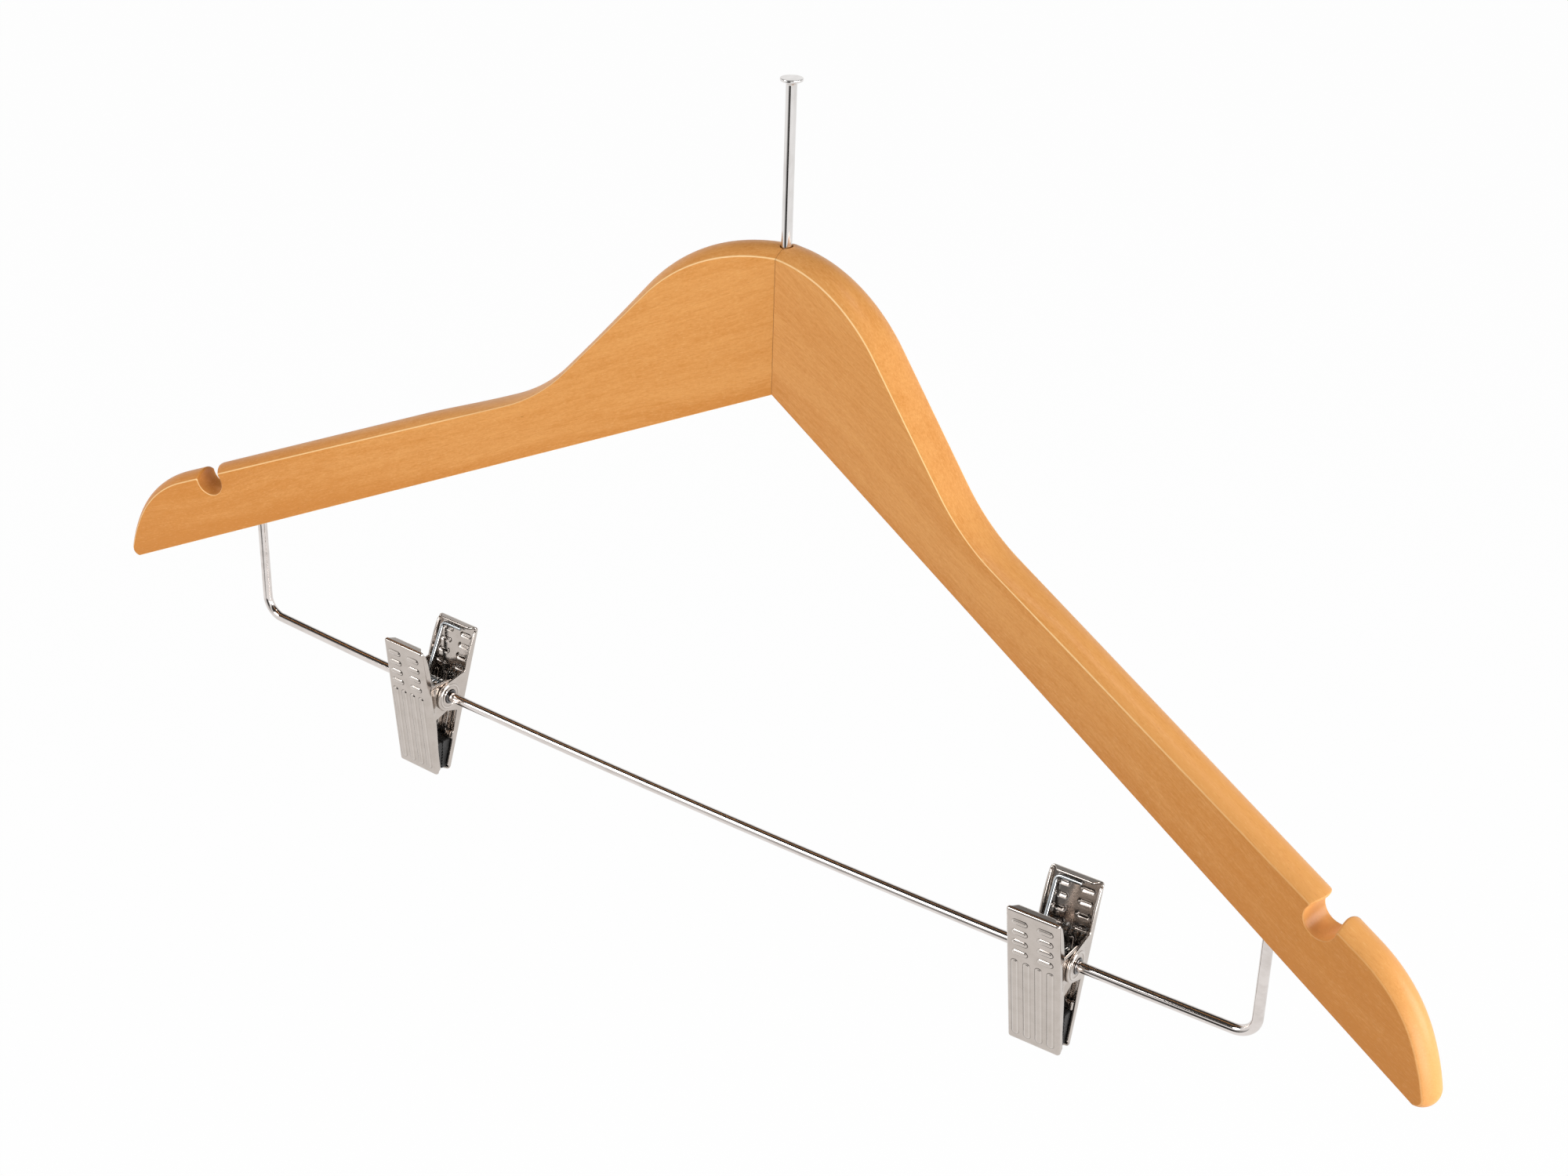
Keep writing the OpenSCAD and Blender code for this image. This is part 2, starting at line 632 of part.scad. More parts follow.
module at_left() on_bar(left_clip_at, left_clip_lean) children();
module at_right() on_bar(right_clip_at, right_clip_lean) children();

module left_pivot_tube() color(steel) at_left() pivot_tube();
module left_rear_jaw() at_left() rear_jaw();
module left_front_jaw() at_left() front_jaw();
module left_spring() at_left() spring();
module left_rear_pad() at_left() rear_pad();
module left_front_pad() at_left() front_pad();
module right_pivot_tube() color(steel) at_right() pivot_tube();
module right_rear_jaw() at_right() rear_jaw();
module right_front_jaw() at_right() front_jaw();
module right_spring() at_right() spring();
module right_rear_pad() at_right() rear_pad();
module right_front_pad() at_right() front_pad();

hanging_pin();
retaining_brad();
left_arm();
right_arm();
lower_dowel();
upper_dowel();
skirt_bar();
left_pivot_tube();
left_rear_jaw();
left_front_jaw();
left_spring();
left_rear_pad();
left_front_pad();
right_pivot_tube();
right_rear_jaw();
right_front_jaw();
right_spring();
right_rear_pad();
right_front_pad();
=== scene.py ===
"""Dressed model of a wooden clip hanger that hangs by a nail-headed pin.

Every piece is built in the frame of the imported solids: the origin lies on the pin's axis
right under its head, +X runs along the skirt bar and the front looks towards -Y. Sizes are
in millimetres and become metres when a mesh is made.
"""
from __future__ import annotations

import logging
import math
from dataclasses import dataclass, field
from enum import Enum
from typing import Any

import bmesh
import bpy
import numpy as np
from mathutils import Matrix, Vector

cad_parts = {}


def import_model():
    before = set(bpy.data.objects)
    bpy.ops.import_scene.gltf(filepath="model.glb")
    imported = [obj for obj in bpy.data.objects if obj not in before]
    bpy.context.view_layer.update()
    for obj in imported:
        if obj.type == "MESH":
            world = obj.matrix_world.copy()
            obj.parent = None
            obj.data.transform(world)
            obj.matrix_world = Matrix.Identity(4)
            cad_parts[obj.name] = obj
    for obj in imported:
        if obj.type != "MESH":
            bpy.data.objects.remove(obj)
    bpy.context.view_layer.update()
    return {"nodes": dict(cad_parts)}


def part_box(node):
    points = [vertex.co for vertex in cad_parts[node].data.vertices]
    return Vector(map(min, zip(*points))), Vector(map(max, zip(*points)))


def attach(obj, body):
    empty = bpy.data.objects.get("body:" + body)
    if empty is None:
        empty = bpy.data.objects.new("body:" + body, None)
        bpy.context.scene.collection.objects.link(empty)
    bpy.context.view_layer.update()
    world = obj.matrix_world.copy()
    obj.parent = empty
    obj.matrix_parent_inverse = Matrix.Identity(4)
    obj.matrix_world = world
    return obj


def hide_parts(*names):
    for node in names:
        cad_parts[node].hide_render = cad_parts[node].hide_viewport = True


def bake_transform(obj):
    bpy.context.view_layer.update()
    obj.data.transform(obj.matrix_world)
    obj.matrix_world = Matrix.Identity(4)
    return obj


log = logging.getLogger("hanger")

# One millimetre in metres, one metre in millimetres, and how near two points are one, in metres.
MM = 0.001
METRE = 1000
SAME_POINT = 2e-7
# Room for rounding when places are compared, in millimetres, and the least share of a unit
# vector that counts as straight along an axis.
NEARLY = 1e-6
STRAIGHT = 0.999
# The attribute that keeps a jaw's points in the clip's own frame.
PLACES = "clip_places"


# Curves and grids

def spread(*parts: Any) -> np.ndarray:
    """Coordinates brought to one shape and stacked into points, along a new last axis."""
    return np.stack(np.broadcast_arrays(*parts), -1)


def ahead(heading: Any) -> np.ndarray:
    """Unit vectors of the given headings, in degrees: (cos, sin)."""
    a = np.radians(heading)
    return spread(np.cos(a), np.sin(a))


def leftward(heading: Any) -> np.ndarray:
    """Unit vectors a quarter turn to the left of the headings: (-sin, cos)."""
    a = np.radians(heading)
    return spread(-np.sin(a), np.cos(a))


def ease(value: Any, low: float, high: float) -> np.ndarray:
    """Smooth step: t squared times (3 - 2t), with t running from 0 at low to 1 at high."""
    t = np.clip((np.asarray(value, float) - low) / (high - low), 0, 1)
    return t * t * (3 - 2 * t)


def steps(start: float, stop: float, count: int) -> np.ndarray:
    """Evenly spaced values without the first one, so that runs join without doubles."""
    return np.linspace(start, stop, count + 1)[1:]


def grid_quads(rows: int, columns: int, wrap: bool = False) -> np.ndarray:
    """Corner numbers of a grid's quads.

    Args:
        rows: Number of rows of points.
        columns: Number of points in a row.
        wrap: Whether a row's last point joins its first.

    Returns:
        One row of four corner numbers for each quad.
    """
    row = np.arange(rows - 1)[:, None] * columns
    column = np.arange(columns if wrap else columns - 1)[None, :]
    a, b = row + column, row + (column + 1) % columns
    return np.stack([a, b, b + columns, a + columns], -1).reshape(-1, 4)


@dataclass
class Skin:
    """The patches of one piece, gathered in millimetres before they become one mesh."""

    points: list[np.ndarray] = field(default_factory=list)
    faces: list[list[int]] = field(default_factory=list)
    smooth: list[bool] = field(default_factory=list)
    count: int = 0

    def grid(self, points: np.ndarray, wrap: bool = False) -> None:
        """Adds a smooth patch from points in rows and columns."""
        rows, columns = points.shape[:2]
        quads = grid_quads(rows, columns, wrap) + self.count
        self.points.append(points.reshape(-1, 3))
        self.faces += quads.tolist()
        self.smooth += [True] * len(quads)
        self.count += rows * columns

    def flat(self, points: np.ndarray) -> None:
        """Adds one flat face with any number of corners."""
        self.points.append(points)
        self.faces.append(list(range(self.count, self.count + len(points))))
        self.smooth.append(False)
        self.count += len(points)

    def make(self, name: str, place: np.ndarray | None = None, sharp: float = 35) -> bpy.types.Object:
        """Makes the object: joins doubles, turns the faces outwards and marks sharp edges.

        Args:
            name: The piece's name.
            place: Matrix of 4 x 4 that puts the piece in the hanger's frame, in millimetres.
            sharp: Angle between faces, in degrees, from which an edge stays sharp.

        Returns:
            The new object, at the origin, with its place in its mesh.
        """
        co = np.concatenate(self.points)
        if place is not None:
            co = co @ place[:3, :3].T + place[:3, 3]
        mesh = bpy.data.meshes.new(name)
        mesh.from_pydata(co * MM, [], self.faces)
        mesh.polygons.foreach_set("use_smooth", self.smooth)
        shape = bmesh.new()
        shape.from_mesh(mesh)
        bmesh.ops.remove_doubles(shape, verts=shape.verts, dist=SAME_POINT)
        bmesh.ops.recalc_face_normals(shape, faces=shape.faces)
        shape.to_mesh(mesh)
        shape.free()
        mesh.set_sharp_from_angle(angle=math.radians(sharp))
        piece = bpy.data.objects.new(name, mesh)
        bpy.context.scene.collection.objects.link(piece)
        return piece


def turned(profile: np.ndarray, sides: int = 48, along_x: bool = False) -> np.ndarray:
    """A profile of (radius, height) carried round an axis.

    Each point goes to (radius cos t, radius sin t) in the plane across the axis.

    Args:
        profile: Points of radius and height.
        sides: Number of steps round the axis.
        along_x: Whether the axis is X and not Z.

    Returns:
        Points in rows along the profile and columns round the axis.
    """
    t = np.linspace(0, 2 * np.pi, sides, endpoint=False)
    radius, height = profile[:, :1], profile[:, 1:]
    points = spread(radius * np.cos(t), radius * np.sin(t), height)
    return points[..., [2, 0, 1]] if along_x else points


def wire(path: np.ndarray, side: np.ndarray, radius: float, sides: int, eased: float = 0.18) -> Skin:
    """A round wire: a circle carried along a path, with slightly eased ends.

    A ring's point is the path's point plus radius (cos t side + sin t other), where side is
    made square to the path and other is square to both.

    Args:
        path: Points of the wire's middle line.
        side: For each point, a direction that isn't along the path.
        radius: The wire's radius.
        sides: Number of steps round the wire.
        eased: The slope cut round each end, as a share of the radius.

    Returns:
        The wire's patches.
    """
    run = np.gradient(path, axis=0)
    run /= np.linalg.norm(run, axis=1, keepdims=True)
    other = np.cross(run, side)
    other /= np.linalg.norm(other, axis=1, keepdims=True)
    side = np.cross(other, run)
    inset = radius * eased
    first, last = path[0], path[-1]
    path = np.concatenate([[first, first + inset * run[0]], path[1:-1], [last - inset * run[-1], last]])
    side = np.concatenate([side[:1], side[:1], side[1:-1], side[-1:], side[-1:]])
    other = np.concatenate([other[:1], other[:1], other[1:-1], other[-1:], other[-1:]])
    reach = np.full(len(path), radius)
    reach[[0, -1]] = radius - inset
    t = np.linspace(0, 2 * np.pi, sides, endpoint=False)[None, :, None]
    rings = path[:, None] + reach[:, None, None] * (np.cos(t) * side[:, None] + np.sin(t) * other[:, None])
    skin = Skin()
    skin.grid(rings, wrap=True)
    skin.flat(rings[0])
    skin.flat(rings[-1])
    return skin


# Shader maths

class Val:
    """A socket of a shader tree. Arithmetic on it adds Math nodes."""

    def __init__(self, tree: "Tree", socket: Any) -> None:
        """Wraps a socket of the given tree."""
        self.tree, self.socket = tree, socket

    def math(self, operation: str, *others: Any) -> "Val":
        """Adds one Math node whose inputs are this value and the others."""
        return self.tree.add("Math", {"operation": operation}, dict(enumerate((self, *others))))

    def __add__(self, other: Any) -> "Val":
        """self + other."""
        return self.math("ADD", other)

    def __sub__(self, other: Any) -> "Val":
        """self - other."""
        return self.math("SUBTRACT", other)

    def __rsub__(self, other: Any) -> "Val":
        """other - self."""
        return self.tree.add("Math", {"operation": "SUBTRACT"}, {0: other, 1: self})

    def __mul__(self, other: Any) -> "Val":
        """self * other."""
        return self.math("MULTIPLY", other)

    def __truediv__(self, other: Any) -> "Val":
        """self / other."""
        return self.math("DIVIDE", other)

    def __pow__(self, other: Any) -> "Val":
        """self ** other."""
        return self.math("POWER", other)

    __radd__ = __add__
    __rmul__ = __mul__

    def size(self) -> "Val":
        """The value without its sign."""
        return self.math("ABSOLUTE")

    def between(self, low: float, high: float, start: float = 0, stop: float = 1) -> "Val":
        """Smooth step from start, where the value is low, to stop, where it is high."""
        return self.tree.add("MapRange", {"interpolation_type": "SMOOTHSTEP"},
                             {0: self, 1: low, 2: high, 3: start, 4: stop})


class Tree:
    """The node tree of one new material, or of a new world."""

    def __init__(self, name: str, store: str = "materials") -> None:
        """Makes the owner in one of Blender's stores and empties its tree."""
        self.owner = getattr(bpy.data, store).new(name)
        self.owner.use_nodes = True
        self.nodes, self.links = self.owner.node_tree.nodes, self.owner.node_tree.links
        self.nodes.clear()

    def add(self, kind: str, settings: dict, inputs: dict, output: Any = 0) -> Val:
        """Adds a node.

        Args:
            kind: The node's type, without the word ShaderNode that they all start with.
            settings: Its own settings.
            inputs: Values or links by the socket's name or number.
            output: Name or number of the socket to give back.

        Returns:
            The chosen output, wrapped.
        """
        node = self.nodes.new(f"ShaderNode{kind}")
        for key, value in settings.items():
            setattr(node, key, value)
        for key, value in inputs.items():
            if isinstance(value, Val):
                self.links.new(value.socket, node.inputs[key])
            else:
                node.inputs[key].default_value = value
        return Val(self, node.outputs[output] if node.outputs else None)

    def place(self) -> Val:
        """The point on the object, in metres, in the hanger's own frame."""
        return self.add("TexCoord", {}, {}, "Object")

    def along(self, direction: Any) -> Val:
        """How far the point lies along a direction, in millimetres."""
        vector = tuple(float(v) * METRE for v in direction)
        return self.add("VectorMath", {"operation": "DOT_PRODUCT"},
                        {0: self.place(), 1: vector}, "Value")

    def point(self, x: Any, y: Any, z: Any) -> Val:
        """A vector of three values."""
        return self.add("CombineXYZ", {}, {0: x, 1: y, 2: z})

    def noise(self, where: Val, scale: float, detail: float = 2, rough: float = 0.5) -> Val:
        """Noise from 0 to 1 at a point."""
        return self.add("TexNoise", {}, {"Vector": where, "Scale": scale, "Detail": detail,
                                         "Roughness": rough})

    def mix(self, share: Any, first: Any, second: Any) -> Val:
        """Mixes two colours by a share."""
        return self.add("Mix", {"data_type": "RGBA"}, {0: share, 6: first, 7: second}, 2)

    def bump(self, height: Val, distance: float, strength: float = 1) -> Val:
        """A normal that follows a height, with its depth in millimetres."""
        return self.add("Bump", {}, {"Strength": strength, "Distance": distance * MM, "Height": height})

    def finish(self, **inputs: Any) -> bpy.types.Material:
        """Adds the Principled shader and the output.

        Args:
            inputs: The shader's sockets, with an underscore for each space in a name.

        Returns:
            The finished material.
        """
        shader = self.add("BsdfPrincipled", {},
                          {key.replace("_", " "): value for key, value in inputs.items()})
        self.add("OutputMaterial", {}, {"Surface": shader})
        return self.owner


def tint(red: float, green: float, blue: float) -> tuple[float, float, float, float]:
    """A colour given as it looks on a screen, from 0 to 255, as linear values."""
    c = np.array([red, green, blue]) / 255
    linear = np.where(c <= 0.04045, c / 12.92, ((c + 0.055) / 1.055) ** 2.4)
    return (*(float(v) for v in linear), 1.0)


# Finishes

@dataclass(frozen=True)
class Grain:
    """One noise of the wood: its scales along, across and through the board, and its fineness.

    Its weight says how much it deepens the colour.
    """

    along: float
    across: float
    through: float
    detail: float = 2
    rough: float = 0.5
    scale: float = 1.0
    weight: float = 0.0

    def of(self, t: Tree, u: Val, v: Val, w: Val) -> Val:
        """The noise, from 0 to 1, at a place along, across and through the board."""
        where = t.point(u * self.along, v * self.across, w * self.through)
        return t.noise(where, self.scale, self.detail, self.rough)


@dataclass(frozen=True)
class LacqueredWood:
    """Pale close-grained wood under a satin amber lacquer."""

    pale: tuple = tint(226, 161, 92)
    deep: tuple = tint(206, 134, 62)
    fleck: tuple = tint(160, 92, 36)
    # Pale flecks of the grain, and the painted highlight and rubbed wear along the crease.
    bright: tuple = tint(255, 218, 158)
    seam: tuple = tint(110, 58, 22)
    roughness: float = 0.40
    coat: float = 0.08
    coat_roughness: float = 0.22
    gloss_level: float = 0.2
    middle_tone: float = 0.40
    wander_reach: float = 14.0
    wander: Grain = Grain(0.011, 0.03, 0.03, 1)
    figure: Grain = Grain(0.014, 0.22, 0.22, 3, 0.55, weight=0.7)
    chatter: Grain = Grain(0.10, 0.55, 0.4, 2, 0.6, weight=0.35)
    fibre: Grain = Grain(0.22, 2.4, 2.4, 3, 0.62, weight=0.8)
    mottle: Grain = Grain(0.9, 1.7, 1.7, 3, 0.72, weight=0.8)
    pores: Grain = Grain(0.55, 4.2, 4.2, 2, 0.55)
    knots: Grain = Grain(0.5, 0.9, 0.9, 1, scale=0.42)

    def seam_line(self, t: Tree, w: Val, width: float) -> Val:
        """Share of the dark line at the mitre: a wavy gap of varying depth, where x is near 0."""
        rise = t.along((0, 0, 1))
        wave = t.noise(t.point(0.0, w * 0.3, rise * 0.3), 1.0, 3) - 0.5
        ink = 0.1 + t.noise(t.point(0.0, w * 0.5, rise * 0.25), 1.0, 2) * 0.9
        off = (t.along((1, 0, 0)) + wave * 0.3).size()
        return off.between(width, width * 2.6, 0.7, 0.0) * ink

    def material(self, name: str, grain: np.ndarray, across: np.ndarray, half: float, lower: np.ndarray,
                 lower_at: float, taper: tuple, seam_width: float = 0.07) -> bpy.types.Material:
        """Builds the wood with its grain along a direction.

        Args:
            name: The material's name.
            grain: Unit vector along the grain.
            across: Unit vector across the board's face.
            half: Half the board's thickness.
            lower: Unit vector in the board's face, square to its lower edge.
            lower_at: How far the lower edge lies along that vector.
            taper: Thickness at the mitre, its loss for each millimetre, and the way along the board.
            seam_width: Half width of the dark line at the mitre, in millimetres.

        Returns:
            The material.
        """
        t = Tree(name)
        u, v, w = t.along(grain), t.along(across), t.along(np.cross(grain, across))
        wavy = v + (self.wander.of(t, u, v, w) - 0.5) * self.wander_reach
        figure, chatter, fibre, pores = (marks.of(t, u, wavy, w) for marks in
                                         (self.figure, self.chatter, self.fibre, self.pores))
        knots, mottle = (marks.of(t, u, v, w) for marks in (self.knots, self.mottle))
        thick, loss, way = taper
        depth = (half - w).math("MINIMUM", w - half + thick - t.along(way) * loss)
        outwards = t.along((1, 0, 0))
        share = self.middle_tone
        for noise, marks in ((figure, self.figure), (chatter, self.chatter),
                             (fibre, self.fibre), (mottle, self.mottle)):
            share = share + (noise - 0.5) * marks.weight
        # Painted shade and light: deeper towards both tips, where the light falls off, and a paler crest
        # towards the right tip, where the light from the right falls.
        share = share + (outwards.size().between(80, 220, 0.0, 0.35)
                         - depth.between(0.1, 0.6) * outwards.between(60, 210, 0.0, 0.7))
        # Deeper again in the last 7 mm over the lower edge.
        low = (t.along(lower) - lower_at).between(0.0, 7.0, 0.28, 0.0)
        colour = t.mix((share + low).between(0.0, 1.0), self.pale, self.deep)
        # The crease beside each face, painted lighter: partly rubbed wear and partly a painted highlight,
        # which fades towards the right tip.
        crease = (depth.between(0.22, 0.36, 1.0, 0.0) * depth.between(0.02, 0.06)
                  * outwards.between(90, 200, 1.0, 0.3))
        for amount, ink in ((pores.between(0.60, 0.78) * 0.24, self.fleck),
                            (pores.between(0.43, 0.30) * 0.14, self.bright),
                            (knots.between(0.80, 0.84) * 0.6, self.fleck),
                            (crease * (0.45 + mottle * 0.6), self.bright),
                            (self.seam_line(t, w, seam_width), self.seam)):
            colour = t.mix(amount, colour, ink)
        rough = self.roughness + (fibre - 0.5) * 0.12 + (mottle - 0.5) * 0.08
        height = fibre * 0.4 + pores * 0.35 + mottle * 0.25
        return t.finish(Base_Color=colour, Roughness=rough, Specular_IOR_Level=self.gloss_level,
                        Normal=t.bump(height, 0.012, 0.5), Coat_Weight=self.coat,
                        Coat_Roughness=self.coat_roughness)


@dataclass(frozen=True)
class PlatedMetal:
    """Plated metal with a faint drawn or pressed texture and small wear."""

    colour: tuple
    worn: tuple
    roughness: float
    grit: float = 6.0
    depth: float = 0.004

    def material(self, name: str, run: tuple = (1, 0, 0)) -> bpy.types.Material:
        """Builds the metal with its fine marks along a direction."""
        t = Tree(name)
        grain = np.array(run, float) / np.linalg.norm(run)
        askew = (0.37, 0.61, 0.7)
        side = np.cross(grain, askew)
        side /= np.linalg.norm(side)
        u, v, w = t.along(grain), t.along(side), t.along(np.cross(grain, side))
        lines = t.noise(t.point(u * 0.35, v * self.grit, w * self.grit), 1.0, 2, 0.6)
        cloud = t.noise(t.point(u * 0.12, v * 0.3, w * 0.3), 1.0, 3, 0.55)
        dots = t.noise(t.point(u, v, w), 4.5, 1)
        wear = cloud.between(0.35, 0.75) * 0.7 + dots.between(0.62, 0.75) * 0.3
        colour = t.mix(wear, self.colour, self.worn)
        rough = self.roughness * (0.75 + cloud * 0.5) + (lines - 0.5) * 0.06 + dots.between(0.6, 0.75) * 0.05
        return t.finish(Base_Color=colour, Metallic=1.0, Roughness=rough,
                        Normal=t.bump(lines * 0.6 + dots * 0.4, self.depth, 0.5))


@dataclass(frozen=True)
class PressedSheet:
    """Nickel-plated sheet with painted shade at the feet of its pressed shapes and painted highlights on
    their ridges.
    """

    colour: tuple = tint(196, 187, 180)
    worn: tuple = tint(182, 173, 165)
    # Colours of the painted shade at the pressed shapes' feet and of the painted highlights on their ridges.
    crease: tuple = tint(66, 59, 54)
    polish: tuple = tint(232, 226, 220)
    roughness: float = 0.13

    def outline(self, away: Val, edge: float, width: float) -> tuple[Val, Val]:
        """Painted shade at the foot and painted highlight on the ridge beside a pressed shape's outline.

        Args:
            away: Distance from the shape's middle line, in millimetres.
            edge: Half the shape's width.
            width: Width of the painted shade at the foot.

        Returns:
            The painted shade's share at the foot and the painted highlight's share on the ridge.
        """
        foot = away.between(edge - width, edge) * away.between(edge, edge + width, 1.0, 0.0)
        ridge = away.between(edge - 0.62, edge - 0.42) * away.between(edge - 0.36, edge - 0.2, 1.0, 0.0)
        return foot, ridge

    @staticmethod
    def nearest(number: Val, pitch: float) -> tuple[Val, Val]:
        """Finds the nearest of four shapes in a row.

        Args:
            number: The place, counted in shapes from 0 at the row's start to 4 at its end.
            pitch: Distance from one shape to the next, in millimetres.

        Returns:
            How far the place lies past the nearest shape's middle, and 1 inside the row.
        """
        off = (number - number.math("FLOOR") - 0.5) * pitch
        return off, number.between(0.0, 0.02) * number.between(3.98, 4.0, 1.0, 0.0)

    @staticmethod
    def away(past: Val, off: Val) -> Val:
        """Distance from a shape's middle line: how far past the line's end, and how far off it."""
        past = past.math("MAXIMUM", 0.0)
        return (past * past + off * off) ** 0.5

    def lozenges(self, clip: "SkirtClip", x: Val, v: Val) -> tuple[list[Val], list[Val]]:
        """Painted shade and painted highlight shares of the lozenges, at x across the plate and v up along
        it.
        """
        length, height, aside, first, pitch = clip.lozenge
        row = (v * -1 + (clip.top / math.cos(clip.lean) - first)) / pitch + 0.5
        off, inside = self.nearest(row, pitch)
        past = (x.size() - aside).size() - (length - height) / 2
        foot, ridge = self.outline(self.away(past, off), height / 2 + 0.06, 0.2)
        # The painted shade is heavier at each lozenge's right end, the painted highlight at its left end.
        end = (x.size() - aside) * x.math("SIGN") / (length / 2)
        return ([foot * inside * end.between(-1.1, 1.0, 0.35, 1.25)],
                [ridge * inside * end.between(-1.0, 1.0, 1.0, 0.5)])

    def beads(self, clip: "SkirtClip", x: Val, v: Val) -> tuple[list[Val], list[Val]]:
        """Painted shade and painted highlight shares of the long beads, at x across the plate and v up along
        it.
        """
        start, stop, wide, apart = clip.bead
        high, low = clip.top / math.cos(clip.lean) - start, stop - clip.foot / math.cos(clip.lean)
        off, inside = self.nearest(x / apart + 2.0, apart)
        past = (v - (high + low) / 2).size() - (high - low - wide) / 2
        foot, ridge = self.outline(self.away(past, off), wide / 2 + 0.1, 0.16)
        # The painted shade is heavier on each bead's left side and at its lower end.
        shade = off.between(-0.5, 0.5, 0.95, 0.3) + v.between(low, low + 2.5, 0.3, 0.0)
        return [foot * inside * shade], [ridge * inside * 0.5]

    def ears(self, clip: "SkirtClip", x: Val, y: Val, z: Val) -> tuple[list[Val], list[Val]]:
        """Painted shade and painted highlight shares of the ears: shade at the raised ring's two feet and the
        hole's rim, a highlight on the ring's top.
        """
        radius = (y * y + z * z) ** 0.5
        ear = x.size().between(clip.width / 2 - 0.45, clip.width / 2 - 0.2)
        feet = [(radius - ring).size().between(0.0, 0.15, 0.55, 0.0) * ear
                for ring in (clip.ring_radius + 0.2, clip.ring_radius - 0.62)]
        top = (radius - clip.ring_radius + 0.15).size().between(0.0, 0.22, 0.6, 0.0) * ear
        rim = radius.between(clip.ear_hole + 0.1, clip.ear_hole + 0.35, 0.8, 0.0) * ear
        return [*feet, rim], [top]

    def material(self, name: str, clip: "SkirtClip") -> bpy.types.Material:
        """Builds the sheet; its marks follow the clip's own places, kept in an attribute."""
        t = Tree(name)
        here = t.add("Attribute", {"attribute_name": PLACES}, {}, "Vector")
        x, y, z = (t.add("SeparateXYZ", {}, {0: here}, axis) for axis in range(3))
        v = z / math.cos(clip.lean)
        feet, ridges = [], []
        for dark, light in (self.lozenges(clip, x, v), self.beads(clip, x, v), self.ears(clip, x, y, z)):
            feet += dark
            ridges += light
        dark, light = sum(feet[1:], feet[0]), sum(ridges[1:], ridges[0])
        place = t.place()
        dots, cloud = t.noise(place, 5200, 1), t.noise(place, 260, 3, 0.55)
        wear = cloud.between(0.35, 0.75) * 0.6 + dots.between(0.55, 0.72) * 0.4
        colour = t.mix(wear, self.colour, self.worn)
        # Painted highlights on the pressed shapes' ridges, then painted shade at their feet.
        colour = t.mix(light.between(0.0, 1.0, 0.0, 0.75), colour, self.polish)
        colour = t.mix(dark.between(0.0, 1.0, 0.0, 0.85), colour, self.crease)
        rough = self.roughness * (0.8 + cloud * 0.4) + dots.between(0.5, 0.75) * 0.05 + dark * 0.05
        return t.finish(Base_Color=colour, Metallic=1.0, Roughness=rough, Normal=t.bump(dots, 0.0008, 0.5))


@dataclass(frozen=True)
class MouldedRubber:
    """Matt black rubber with a dusty bloom."""

    dark: tuple = tint(22, 21, 21)
    dusty: tuple = tint(44, 43, 42)

    def material(self, name: str) -> bpy.types.Material:
        """Builds the rubber."""
        t = Tree(name)
        here = t.place()
        fine, bloom = t.noise(here, 3800, 2), t.noise(here, 420, 3, 0.6)
        colour = t.mix(bloom.between(0.4, 0.75) * 0.7 + fine * 0.15, self.dark, self.dusty)
        return t.finish(Base_Color=colour, Roughness=0.5 + bloom * 0.2, Normal=t.bump(fine, 0.03, 0.6))


class Metal(Enum):
    """The metals of the hanger."""

    PIN = PlatedMetal(tint(226, 223, 221), tint(208, 204, 201), 0.06, 6.0, 0.0003)
    BAR = PlatedMetal(tint(222, 215, 211), tint(200, 192, 187), 0.06, 6.0, 0.0003)
    SPRING = PlatedMetal(tint(190, 195, 198), tint(160, 166, 170), 0.12, 6.0, 0.0005)
    STEEL = PlatedMetal(tint(118, 116, 116), tint(92, 90, 90), 0.16, 6.0, 0.002)


def dress(piece: bpy.types.Object, material: bpy.types.Material) -> None:
    """Gives a piece one material in place of what it had."""
    piece.data.materials.clear()
    piece.data.materials.append(material)


def hand_over(piece: bpy.types.Object, material: bpy.types.Material, body: str, slot: str,
              *nodes: str) -> None:
    """Dresses a piece, lets it stand for its solids and moves it with their body.

    Args:
        piece: The finished piece.
        material: Its material.
        body: The body that it rides on.
        slot: Not used.
        nodes: The solids that it replaces.
    """
    dress(piece, material)
    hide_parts(*nodes)
    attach(piece, body)
    log.info("%s: %d faces, rides on %s", piece.name, len(piece.data.polygons), body)


class Side(Enum):
    """The hanger's two sides, with the sign of X."""

    LEFT = -1
    RIGHT = 1

    @property
    def word(self) -> str:
        """The side's name in small letters."""
        return self.name.lower()


# Sub-assemblies

